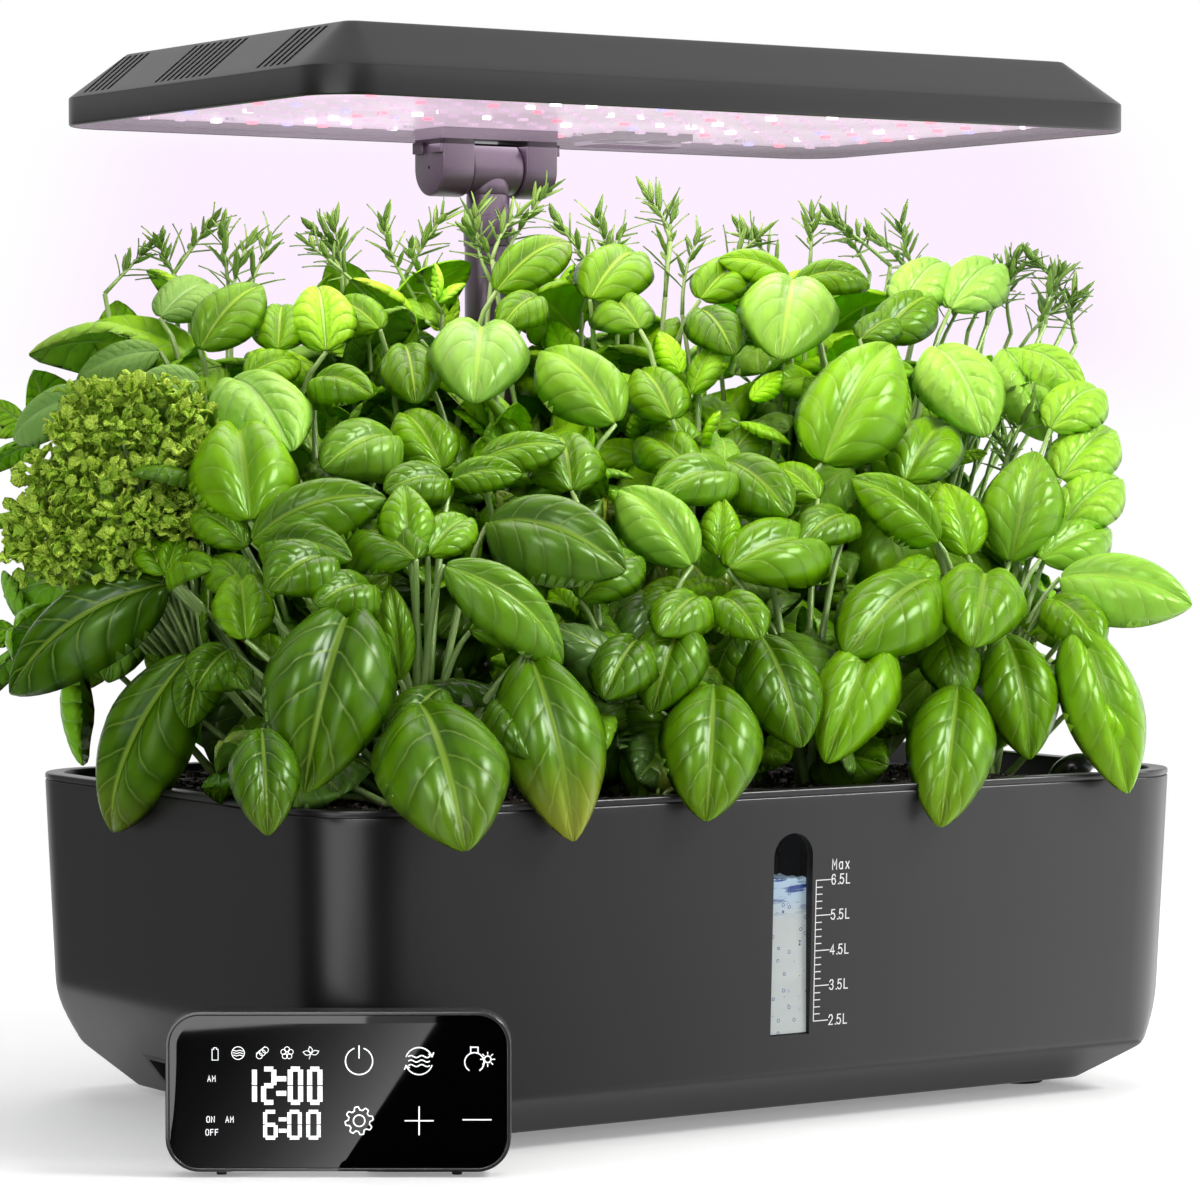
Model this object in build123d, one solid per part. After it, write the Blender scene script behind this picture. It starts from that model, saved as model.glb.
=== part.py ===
"""Countertop hydroponic garden: a water tank with a level window, a planted lid, a telescopic
mast, a tilting lamp with a fan, and a small control console that stands in front.

Millimetres, +Z up. The model is worked out about the tank's centre, with the floor at z = 0, and
every piece is moved at the end so that the origin is the bottom centre of the whole set's box.
"""

from build123d import *
import os
from math import asin, cos, hypot, pi, radians, sin, sqrt

# ---------------------------------------------------------------- driving sizes: tank
rim_length = 375.0
rim_depth = 237.3
rim_height = 120.5
rim_corner = 29.3
wall_lean = 0.035  # every wall leans in by this much for each millimetre down
tank_wall = 2.6
tank_floor = 3.0
end_crease_drop = 78.0  # where the long chamfer of the two ends starts, below the rim
side_crease_drop = 101.7  # where the short chamfer of front and back starts
end_foot_inset = 34.3  # the underside ends this far inside the rim's ends
side_foot_inset = 31.6
foot_radius = 8.5
foot_stand = 2.5  # gap between the floor and the tank's underside
foot_seat = 1.2  # how deep a foot sits in the underside
foot_edge_inset = 12.5  # foot centre to the underside's edge, lengthwise
foot_side_inset = 17.0

# ---------------------------------------------------------------- level window
window_width = 16.9
window_top_drop = 15.6
window_low_drop = 87.7
window_flange = 3.0
window_gap = 0.15
window_recess = 0.4
gasket_thickness = 1.0
pane_flange_thickness = 2.0

# ---------------------------------------------------------------- planted lid
flange_thickness = 2.0
flange_width = 7.0
seam_height = 0.5  # shadow line between tank and lid
seam_depth = 0.8
skirt_wall = 2.4
tray_drop = 10.0  # the tray's floor below the rim
tray_thickness = 2.4
pod_pitch_x = 82.7
pod_pitch_y = 70.0
pod_columns = 4
pod_rows = 3
basket_rim_radius = 17.0
basket_rim_thickness = 1.6
basket_top_radius = 14.6
basket_low_radius = 11.5
basket_length = 44.0
basket_wall = 1.2
basket_slot = 3.6
basket_slots = 8
basket_slot_low_gap = 3.6
basket_slot_top_gap = 6.0
basket_fit = 0.35
sponge_gap = 0.3
sponge_rise = 3.0
bed_length = 300.0
bed_offset_x = -18.0
bed_side_gap = 3.0
bed_corner = 15.0
bed_thickness = 6.5
bed_hole_gap = 0.4

# ---------------------------------------------------------------- refill cap
cap_end_inset = 34.5  # cap's middle to the rim's right end
cap_front_inset = 28.65
cap_radius = 12.5
cap_dome_height = 10.0
cap_skirt_height = 3.0
cap_flange_radius = 14.5
cap_flange_thickness = 1.5
cap_spigot_length = 7.0
cap_hole_radius = 11.0
cap_fit = 0.3
seal_thickness = 0.8
seal_width = 2.4

# ---------------------------------------------------------------- pump
pump_end_inset = 95.5  # pump's middle to the rim's right end
pump_back_inset = 82.65
pump_length = 46.0
pump_depth = 38.0
pump_height = 30.0
pump_corner = 5.0
pump_wall = 2.5
chamber_radius = 11.0
chamber_height = 10.0
well_radius = 6.2
well_depth = 14.0
impeller_radius = 9.6
impeller_hub_radius = 4.6
impeller_blade = 1.4
impeller_blades = 6
impeller_gap = 0.6  # running gap above and below
magnet_radius = 5.4
pump_shaft_radius = 1.2
shaft_fit = 0.05
cover_thickness = 3.0
outlet_radius = 5.5
outlet_bore_radius = 3.8
outlet_height = 14.0
cup_radius = 5.0
cup_height = 3.0
cup_inset = 1.0
intake_slot = 2.0
intake_pitch = 6.25

# ---------------------------------------------------------------- mast
mast_x = 5.0
mast_back_inset = 23.85  # mast's middle to the rim's back
inner_tube_radius = 8.5
inner_tube_wall = 1.2
slide_fit = 0.08
outer_tube_radius = 9.2
collar_radius = 9.6
collar_height = 12.1
collar_cap = 2.2
mast_top_rise = 211.2  # top of the outer tube's collar above the rim
neck_seam_rise = 219.3
inner_tube_low_rise = 12.0
neck_spigot = 22.0
socket_flange_radius = 16.0
socket_flange_thickness = 3.0
socket_radius = 11.4
socket_height = 30.0
socket_boss_radius = 10.8
socket_depth = 10.5
socket_floor = 2.0
socket_hole_gap = 0.2
screw_shank_radius = 1.5
screw_hole_gap = 0.1
screw_head_radius = 2.2
screw_head_height = 1.8
socket_screws = 3
neck_screw_radius = 1.3
neck_screw_drop = 4.0

# ---------------------------------------------------------------- lamp
lamp_length = 355.6
lamp_depth = 209.3
lamp_overhang = 81.2  # lamp's middle in front of the hinge
lamp_corner = 20.3
lamp_rise = 240.2  # the lens's underside above the rim
lamp_band = 10.5
lamp_slope_rise = 16.6
lamp_slope_x = 20.2
lamp_slope_y = 21.5
lamp_top_corner = 4.0
lamp_wall = 2.2
lens_lip = 1.8
lens_thickness = 2.0
ledge_width = 5.0
ledge_height = 2.5
board_thickness = 1.6
board_gap = 1.0
chip_size = 3.0
chip_height = 1.0
chip_columns = 22
chip_rows = 11
chip_margin = 9.0
chip_clearance = 6.0  # from the hinge
boss_radius = 3.2
board_screw_depth = 4.0
boss_columns = 4
boss_x_span = 234.0
boss_y_span = 150.0
vent_slot = 2.2
vent_pitch = 4.7
vent_end_gap = 2.0
vent_groups = ((84.8, 5), (19.0, 9), (-47.2, 5))  # middle of each group along y, slots in it

# ---------------------------------------------------------------- hinge
hinge_offset = 1.2  # hinge pin behind the mast's middle
hinge_drop = 10.8  # pin axis below the lens
knuckle_radius = 10.0
knuckle_width = 22.8
cheek_width = 14.3
cheek_radius = 11.2
cheek_gap = 0.5
hinge_fit = 0.1  # about the hinge where it passes the lens and the board
cheek_low_drop = 22.0
pin_radius = 2.5
pin_fit = 0.05
pin_head_radius = 4.2
pin_head_height = 2.2
washer_radius = 8.0
washer_thickness = 0.4
hinge_flange_over = 5.0
hinge_flange_thickness = 3.5
hinge_flange_rise = 10.0
clip_width = 4.4
clip_height = 7.5
clip_depth = 1.0
clip_drop = 2.0

# ---------------------------------------------------------------- fan and lamp electronics
fan_offset_x = 64.7  # from the lamp's middle
fan_offset_y = 75.2
fan_size = 36.0
fan_height = 8.0
fan_bore_radius = 16.4
fan_rotor_radius = 15.6
fan_hub_radius = 6.4
fan_blades = 7
fan_blade = 1.2
fan_shaft_radius = 1.0
fan_strut = 2.0
fan_base = 1.4
fan_struts = 3
fan_strut_turn = 30.0  # degrees
fan_corner = 2.0
fan_blade_pitch = 35.0  # degrees
fan_gap = 0.3
fan_blade_gap = 1.0
air_slot_length = 41.0
air_slot_depth = 21.0
air_slot_corner = 4.0
air_slot_offset_y = 3.5  # air slot's middle behind the fan's
driver_offset_x = -100.0  # from the lamp's middle
driver_offset_y = 3.2
driver_length = 84.0
driver_depth = 46.0
driver_post_radius = 3.0
driver_stand_off = 4.8
driver_corner = 2.0
driver_headroom = 1.0
coil_size = 20.0
coil_offset = -20.0  # coil and capacitors, from the board's middle
capacitor_radius = 4.0
capacitor_places = ((5.0, 8.0), (17.0, -8.0), (29.0, 8.0))

# ---------------------------------------------------------------- console
console_width = 114.5
console_height = 53.4
console_depth = 12.5
console_corner = 11.3
console_turn = 33.3  # degrees that its face turns towards the tank's end
console_left = 0.1412  # middle of its face, beyond the rim's left end
console_ahead = 2.168  # and in front of the rim
console_raise = 1.6
console_rim = 1.3
console_rim_depth = 3.0
console_wall = 1.8
console_glass = 1.6
console_glass_recess = 0.3
console_fit = 0.1
console_board_thickness = 1.6
console_display_height = 25.0
console_display_width = 44.0
console_battery_length = 44.0
console_battery_height = 26.0
console_battery_thickness = 3.2
console_pad_radius = 1.7
console_pad_inset = 18.1
console_spacer_radius = 2.5
stand_width = 52.0
stand_reach = 17.5
stand_thickness = 2.5
stand_back_height = 12.0

# ---------------------------------------------------------------- power inlet in the tank's left end
inlet_back_inset = 66.65  # inlet's middle to the rim's back
inlet_drop = 108.0
inlet_width = 18.0
inlet_height = 12.0
inlet_depth = 38.0  # from the chamfer's upper edge to the closed back
inlet_wall = 2.0
inlet_fit = 0.1
inlet_pin_radius = 1.0
inlet_pin_length = 5.0

# ---------------------------------------------------------------- foliage envelopes
stem_radius = 5.0
crown_gap = 1.0
shoots_per_plant = 12
shoot_turn = 137.508  # degrees round the stem from one shoot to the next
shoot_fall = 1.08  # how far the shoots spread down from the crown's top, over its half height
shoot_spread = 0.55  # how far they are pushed out to the crown's corners
shoot_inset = (14.0, 12.0, 16.0)  # shoot tips inside the crown's share
shoot_base_rise = 18.0  # lowest middle of the shoots above the crown's bottom
mound_radius = 21.0  # leaves round each shoot tip
mound_height = 36.0
mound_round = 13.0
mound_sink = 6.0  # mound's middle below the shoot tip
core_inset = (18.0, 16.0, 26.0)  # leaf mass under the mounds, inside the crown's share
core_low_inset = 10.0
core_round = 12.0
leaf_reach_left = (30.0, 50.0, 22.0)  # foliage beyond the rim's left end, front row first
leaf_reach_right = (20.0, 38.0, 38.0)
leaf_reach_front = 14.0
leaf_reach_back = 16.0
crown_low_rises = (12.0, 40.0, 52.0)  # bottoms of the crowns above the rim, front to back
crown_top_rises = (128.0, 172.0, 200.0)
shoot_middle_rises = (30.0, 62.0, 84.0)
cap_headroom = 26.0  # the plant over the refill cap starts this much higher
mast_gap = 2.0

# ---------------------------------------------------------------- derived places
cap_x = rim_length / 2 - cap_end_inset
cap_y = cap_front_inset - rim_depth / 2
pump_x = rim_length / 2 - pump_end_inset
pump_y = rim_depth / 2 - pump_back_inset
inlet_y = rim_depth / 2 - inlet_back_inset
mast_y = rim_depth / 2 - mast_back_inset
hinge_y = mast_y + hinge_offset
lamp_y = hinge_y - lamp_overhang
fan_x = mast_x + fan_offset_x
fan_y = lamp_y + fan_offset_y
air_slot_y = fan_y + air_slot_offset_y
driver_x = mast_x + driver_offset_x
driver_y = lamp_y + driver_offset_y
console_x = -(rim_length / 2 + console_left)
console_y = -(rim_depth / 2 + console_ahead)

# ---------------------------------------------------------------- derived heights
tank_low = foot_stand
flange_low = rim_height - flange_thickness
tank_top = flange_low - seam_height
tray_top = rim_height - tray_drop
tray_low = tray_top - tray_thickness
lens_low = rim_height + lamp_rise
lens_top = lens_low + lens_thickness
ledge_top = lens_top + ledge_height
board_top = ledge_top + board_thickness
lamp_crease = lens_low + lamp_band
lamp_top = lamp_crease + lamp_slope_rise
pin_z = lens_low - hinge_drop
neck_seam = rim_height + neck_seam_rise
mast_top = rim_height + mast_top_rise
screw_hole_radius = screw_shank_radius + screw_hole_gap
overlap = 1.0  # how far a cutter runs past a face

low_centre = (Align.CENTER, Align.CENTER, Align.MIN)


def plate(length, depth, corner, low, high, x=0.0, y=0.0):
    """Rounded rectangle standing from height low to high."""
    outline = Plane.XY.offset(low) * Pos(x, y) * RectangleRounded(length, depth, corner)
    return extrude(outline, amount=high - low)


def post(radius, low, high, x=0.0, y=0.0):
    """Upright cylinder from height low to high."""
    return Pos(x, y, low) * Cylinder(radius, high - low, align=low_centre)


def box_between(x0, x1, y0, y1, z0, z1):
    """Box between two corners."""
    centre = Pos((x0 + x1) / 2, (y0 + y1) / 2, (z0 + z1) / 2)
    return centre * Box(x1 - x0, y1 - y0, z1 - z0)


def turned(points):
    """Solid of revolution about Z from (radius, height) points."""
    profile = make_face(Polyline(*[(r, 0, z) for r, z in points], close=True))
    return revolve(profile, axis=Axis.Z)


def group(shapes):
    """Separate solids kept in one node."""
    solids = []
    for shape in shapes:
        solids.extend(shape.solids())
    return Compound(solids)


# ---------------------------------------------------------------- tank
def leaning_prism(inset, low, high):
    """Rounded-rectangle prism whose walls lean in going down, set in by inset."""
    rings = []
    for height in (low, high):
        lean = inset + wall_lean * (rim_height - height)
        ring = RectangleRounded(rim_length - 2 * lean, rim_depth - 2 * lean, rim_corner - inset)
        rings.append(Plane.XY.offset(height) * ring)
    return loft(rings, ruled=True)


def chamfer_wedge(plane, half_rim, crease_drop, foot_inset, inset, reach):
    """Bar along the tank whose section is cut by the two slanting chamfers of one direction."""
    crease = (half_rim - wall_lean * crease_drop, rim_height - crease_drop)
    foot = (half_rim - foot_inset, tank_low)
    run = crease[0] - foot[0]
    rise = crease[1] - foot[1]
    slope = hypot(run, rise)
    shift = (-inset * rise / slope, inset * run / slope)
    far = (crease[0] + run + shift[0], crease[1] + rise + shift[1])
    near = (foot[0] - run + shift[0], foot[1] - rise + shift[1])
    top = rim_height + tray_drop
    right = [near, far, (far[0], top)]
    left = [(-x, z) for x, z in reversed(right)]
    return extrude(plane * make_face(Polyline(*right, *left, close=True)), amount=reach, both=True)


def tank_form(inset, low, high):
    """The tank's outside, set in by inset, between two heights."""
    ends = chamfer_wedge(Plane.XZ, rim_length / 2, end_crease_drop, end_foot_inset, inset, rim_depth)
    sides = chamfer_wedge(Plane.YZ, rim_depth / 2, side_crease_drop, side_foot_inset, inset, rim_length)
    return leaning_prism(inset, low, high) & ends & sides


def window_prism(grow):
    """Bar through the front wall with the window's outline: flat foot, round head."""
    half = window_width / 2 + grow
    low = rim_height - window_low_drop - grow
    spring = rim_height - window_top_drop - window_width / 2
    sides = Polyline((-half, spring), (-half, low), (half, low), (half, spring))
    head = ThreePointArc((half, spring), (0, spring + half), (-half, spring))
    start = rim_depth / 2 + overlap
    face = Plane.XZ.offset(start) * make_face([*sides.edges(), head])
    return extrude(face, amount=-(start - rim_depth / 4))


def inlet_box(inset, front, back):
    """Level box about the inlet's middle, set in by inset, from front to back along x."""
    half_width = inlet_width / 2 - inset
    half_height = inlet_height / 2 - inset
    middle = rim_height - inlet_drop
    y0 = inlet_y - half_width
    y1 = inlet_y + half_width
    return box_between(front, back, y0, y1, middle - half_height, middle + half_height)


def feet_places():
    """Centres of the four feet."""
    x = rim_length / 2 - end_foot_inset - foot_edge_inset
    y = rim_depth / 2 - side_foot_inset - foot_side_inset
    return [(sx * x, sy * y) for sx in (-1, 1) for sy in (-1, 1)]


def make_tank():
    outside = tank_form(0.0, tank_low, tank_top)
    shell = outside - tank_form(tank_wall, tank_low + tank_floor, tank_top + overlap)
    shell -= window_prism(0.0)
    shell -= inlet_box(0.0, -rim_length / 2, inlet_back())
    feet = []
    for x, y in feet_places():
        shell -= post(foot_radius, tank_low - overlap, tank_low + foot_seat, x, y)
        feet.append(post(foot_radius, 0.0, tank_low + foot_seat, x, y))
    walls = [tank_wall, tank_wall + gasket_thickness]
    walls.append(walls[1] + pane_flange_thickness)
    front, middle, back = [tank_form(inset, tank_low, tank_top) for inset in walls]
    gasket = (front & window_prism(window_flange)) - middle - window_prism(window_gap)
    plug = (tank_form(window_recess, tank_low, tank_top) & window_prism(-window_gap)) - back
    pane_flange = (middle & window_prism(window_flange)) - back
    return {
        "tank_shell": shell,
        "tank_feet": group(feet),
        "window_gasket": gasket,
        "level_window": plug + pane_flange,
    }


def inlet_back():
    """Where the inlet's closed back lies along x."""
    return inlet_depth - (rim_length / 2 - wall_lean * end_crease_drop)


def make_inlet():
    back = inlet_back() - inlet_fit
    floor = back - inlet_wall
    body = inlet_box(inlet_fit, -rim_length / 2, back) & tank_form(0.0, tank_low, tank_top)
    body -= inlet_box(inlet_wall, -rim_length / 2, floor)
    pin = Cylinder(inlet_pin_radius, inlet_pin_length, align=low_centre)
    body += Pos(floor, inlet_y, rim_height - inlet_drop) * Rot(0, -90, 0) * pin
    return {"power_inlet": body}


# ---------------------------------------------------------------- pump
def make_pump():
    floor = tank_low + tank_floor
    low = floor + cup_height
    high = low + pump_height
    housing = plate(pump_length, pump_depth, pump_corner, low, high, pump_x, pump_y)
    chamber_low = high - chamber_height
    well_low = chamber_low - well_depth
    housing -= post(chamber_radius, chamber_low, high + overlap, pump_x, pump_y)
    housing -= post(well_radius, well_low, high, pump_x, pump_y)
    shaft_high = high - impeller_gap
    shaft_seat = well_low - pump_wall / 2
    housing -= post(pump_shaft_radius, shaft_seat, well_low + overlap, pump_x, pump_y)
    shaft = post(pump_shaft_radius, shaft_seat, shaft_high, pump_x, pump_y)
    cover_high = high + cover_thickness
    cover = plate(pump_length, pump_depth, pump_corner, high, cover_high, pump_x, pump_y)
    outlet_x = pump_x - chamber_radius + outlet_radius
    outlet_high = cover_high + outlet_height
    cover += post(outlet_radius, high, outlet_high, outlet_x, pump_y)
    cover -= post(outlet_bore_radius, high - overlap, outlet_high + overlap, outlet_x, pump_y)
    for side in (-1, 0, 1):
        y0 = pump_y + side * intake_pitch - intake_slot / 2
        x0 = pump_x + chamber_radius / 2
        x1 = pump_x + chamber_radius
        cover -= box_between(x0, x1, y0, y0 + intake_slot, high - overlap, cover_high + overlap)
    cups = []
    for sx in (-1, 1):
        for sy in (-1, 1):
            x = pump_x + sx * (pump_length / 2 - cup_radius - cup_inset)
            y = pump_y + sy * (pump_depth / 2 - cup_radius - cup_inset)
            cup = Cone(cup_radius, cup_radius / 2, cup_height, align=low_centre)
            cups.append(Pos(x, y, floor) * cup)
    blade_low = chamber_low + impeller_gap
    blade_high = high - impeller_gap
    impeller = post(impeller_hub_radius, blade_low, blade_high)
    half_blade = impeller_blade / 2
    blade = box_between(0, impeller_radius, -half_blade, half_blade, blade_low, blade_high)
    for turn in range(impeller_blades):
        impeller += Rot(0, 0, 360 * turn / impeller_blades) * blade
    impeller -= post(pump_shaft_radius + shaft_fit, blade_low - overlap, blade_high + overlap)
    magnet = post(magnet_radius, well_low + impeller_gap, blade_low)
    magnet -= post(pump_shaft_radius + shaft_fit, well_low, blade_low + overlap)
    place = Pos(pump_x, pump_y, 0)
    return {
        "pump_housing": housing,
        "pump_cover": cover,
        "pump_suction_cups": group(cups),
        "pump_shaft": shaft,
        "impeller": place * impeller,
        "impeller_magnet": place * magnet,
    }


# ---------------------------------------------------------------- planted lid
def pod_places():
    """Pod centres, column by column from the left, front row first."""
    places = []
    for column in range(pod_columns):
        for row in range(pod_rows):
            x = (column - (pod_columns - 1) / 2) * pod_pitch_x
            y = (row - (pod_rows - 1) / 2) * pod_pitch_y
            places.append((column, row, x, y))
    return places


def make_lid():
    opening_length = rim_length - 2 * flange_width
    opening_depth = rim_depth - 2 * flange_width
    opening_corner = rim_corner - flange_width
    lid = plate(rim_length, rim_depth, rim_corner, flange_low, rim_height)
    seam_length = rim_length - 2 * seam_depth
    seam_width = rim_depth - 2 * seam_depth
    lid += plate(seam_length, seam_width, rim_corner - seam_depth, tank_top, flange_low)
    skirt_length = opening_length + 2 * skirt_wall
    skirt_depth = opening_depth + 2 * skirt_wall
    lid += plate(skirt_length, skirt_depth, opening_corner + skirt_wall, tray_low, tank_top)
    lid -= plate(opening_length, opening_depth, opening_corner, tray_top, rim_height + overlap)
    bed_depth = opening_depth - 2 * bed_side_gap
    bed_high = tray_top + bed_thickness
    bed = plate(bed_length, bed_depth, bed_corner, tray_top, bed_high, bed_offset_x)
    for _, _, x, y in pod_places():
        lid -= post(basket_top_radius + basket_fit, tray_low - overlap, tray_top + overlap, x, y)
        bed -= post(basket_rim_radius + bed_hole_gap, tray_top - overlap, bed_high + overlap, x, y)
    lid -= post(cap_hole_radius, tray_low - overlap, tray_top + overlap, cap_x, cap_y)
    boss_hole = socket_boss_radius + socket_hole_gap
    lid -= post(boss_hole, tray_low - overlap, tray_top + overlap, mast_x, mast_y)
    for x, y in socket_screw_places():
        lid -= post(screw_hole_radius, tray_low - overlap, tray_top + overlap, x, y)
    bed -= post(socket_flange_radius + bed_hole_gap, tray_top - overlap, bed_high + overlap, mast_x, mast_y)
    return {"planting_lid": lid, "soil_bed": bed}


def make_pods():
    rim_low = tray_top
    rim_high = tray_top + basket_rim_thickness
    low = rim_low - basket_length
    inner_top = basket_top_radius - basket_wall
    inner_low = basket_low_radius - basket_wall
    basket = turned(
        [
            (0, low),
            (basket_low_radius, low),
            (basket_top_radius, rim_low),
            (basket_rim_radius, rim_low),
            (basket_rim_radius, rim_high),
            (inner_top, rim_high),
            (inner_low, low + basket_wall),
            (0, low + basket_wall),
        ]
    )
    slot_low = low + basket_slot_low_gap
    slot_high = rim_low - basket_slot_top_gap
    reach = basket_rim_radius
    half_slot = basket_slot / 2
    bar = box_between(-reach, reach, -half_slot, half_slot, slot_low, slot_high)
    for turn in range(basket_slots // 2):
        basket -= Rot(0, 0, 360 * turn / basket_slots) * bar
    sponge_high = rim_high + sponge_rise
    sponge = turned(
        [
            (0, low + basket_wall),
            (inner_low - sponge_gap, low + basket_wall),
            (inner_top - sponge_gap, rim_high),
            (inner_top - sponge_gap, sponge_high),
            (0, sponge_high),
        ]
    )
    baskets = []
    sponges = []
    for _, _, x, y in pod_places():
        baskets.append(Pos(x, y, 0) * basket)
        sponges.append(Pos(x, y, 0) * sponge)
    return {"pod_baskets": group(baskets), "pod_sponges": group(sponges)}


def make_cap():
    seal_low = tray_top
    flange_bottom = seal_low + seal_thickness
    flange_top = flange_bottom + cap_flange_thickness
    dome_low = flange_top + cap_skirt_height
    spigot_radius = cap_hole_radius - cap_fit
    spigot_low = seal_low - cap_spigot_length
    outline = Polyline(
        (0, 0, dome_low + cap_dome_height),
        (0, 0, spigot_low),
        (spigot_radius, 0, spigot_low),
        (spigot_radius, 0, flange_bottom),
        (cap_flange_radius, 0, flange_bottom),
        (cap_flange_radius, 0, flange_top),
        (cap_radius, 0, flange_top),
        (cap_radius, 0, dome_low),
    )
    ball = (cap_radius**2 + cap_dome_height**2) / (2 * cap_dome_height)
    half_turn = asin(cap_radius / ball) / 2
    top = dome_low + cap_dome_height
    middle = (ball * sin(half_turn), 0, top - ball + ball * cos(half_turn))
    dome = ThreePointArc((cap_radius, 0, dome_low), middle, (0, 0, top))
    cap = revolve(make_face([*outline.edges(), dome]), axis=Axis.Z)
    seal = post(cap_hole_radius + seal_width, seal_low, flange_bottom)
    seal -= post(cap_hole_radius, seal_low - overlap, flange_bottom + overlap)
    place = Pos(cap_x, cap_y, 0)
    return {"refill_cap": place * cap, "cap_seal": place * seal}


# ---------------------------------------------------------------- plants
def column_ends(row):
    """Where the foliage of each column of one row starts and ends along x."""
    ends_x = [-(rim_length / 2 + leaf_reach_left[row])]
    for column in range(1, pod_columns):
        ends_x.append((column - pod_columns / 2) * pod_pitch_x)
    ends_x.append(rim_length / 2 + leaf_reach_right[row])
    return ends_x


def row_ends():
    """Where the foliage of each row starts and ends along y."""
    ends_y = [-(rim_depth / 2 + leaf_reach_front)]
    for row in range(1, pod_rows):
        ends_y.append((row - pod_rows / 2) * pod_pitch_y)
    ends_y.append(rim_depth / 2 + leaf_reach_back)
    return ends_y


def shoot_tips(row, column, low, high):
    """Shoot tips of one plant: a golden-angle spread over a dome, pushed out towards the corners of
    the share between low and high."""
    middle = (low + high) / 2
    middle.Z = max(rim_height + shoot_middle_rises[row], low.Z + shoot_base_rise)
    reach = high - middle - Vector(*shoot_inset)
    tips = []
    for shoot in range(shoots_per_plant):
        rise = 1 - shoot_fall * (shoot + 0.5) / shoots_per_plant
        ring = sqrt(1 - rise**2)
        turn = radians(shoot_turn) * shoot + row + column
        way = (ring * cos(turn), ring * sin(turn), rise)
        push = max(abs(share) for share in way) ** shoot_spread
        shares = [max(-1.0, min(1.0, share / push)) for share in way]
        tips.append(middle + Vector(shares[0] * reach.X, shares[1] * reach.Y, shares[2] * reach.Z))
    return tips


def make_crown(row, column, low, high):
    """Leaf mass of one plant: a core with a mound round every shoot tip, inside its share."""
    inset = Vector(*core_inset)
    core_low = low + Vector(inset.X, inset.Y, core_low_inset)
    core_high = high - inset
    core = box_between(core_low.X, core_high.X, core_low.Y, core_high.Y, core_low.Z, core_high.Z)
    crown = fillet(core.edges(), core_round)
    mound = Cylinder(mound_radius, mound_height)
    mound = fillet(mound.edges().filter_by(GeomType.CIRCLE), mound_round)
    tips = shoot_tips(row, column, low, high)
    crown = crown.fuse(*[Pos(tip.X, tip.Y, tip.Z - mound_sink) * mound for tip in tips])
    return crown & box_between(low.X, high.X, low.Y, high.Y, low.Z, high.Z)


def make_plants():
    ends_y = row_ends()
    names = ("front", "middle", "back")
    stem_low = tray_top + basket_rim_thickness + sponge_rise
    plants = {}
    for column, row, x, y in pod_places():
        ends_x = column_ends(row)
        x0 = ends_x[column] + crown_gap / 2
        x1 = ends_x[column + 1] - crown_gap / 2
        y0 = ends_y[row] + crown_gap / 2
        y1 = ends_y[row + 1] - crown_gap / 2
        low = rim_height + crown_low_rises[row]
        if row == 0 and column == pod_columns - 1:
            low += cap_headroom
        if row == pod_rows - 1 and x < mast_x:
            x1 = min(x1, mast_x - collar_radius - mast_gap)
        if row == pod_rows - 1 and x > mast_x:
            x0 = max(x0, mast_x + collar_radius + mast_gap)
        high = rim_height + crown_top_rises[row]
        crown = make_crown(row, column, Vector(x0, y0, low), Vector(x1, y1, high))
        stem = post(stem_radius, stem_low, low + core_low_inset + core_round, x, y)
        plants[f"plant_{names[row]}_{column + 1}"] = crown + stem
    return plants


# ---------------------------------------------------------------- mast
def socket_screw_places():
    """Centres of the screws in the socket's flange."""
    reach = (socket_flange_radius + socket_radius) / 2
    places = []
    for turn in range(socket_screws):
        angle = pi / 2 + 2 * pi * turn / socket_screws
        places.append((mast_x + reach * cos(angle), mast_y + reach * sin(angle)))
    return places


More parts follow.
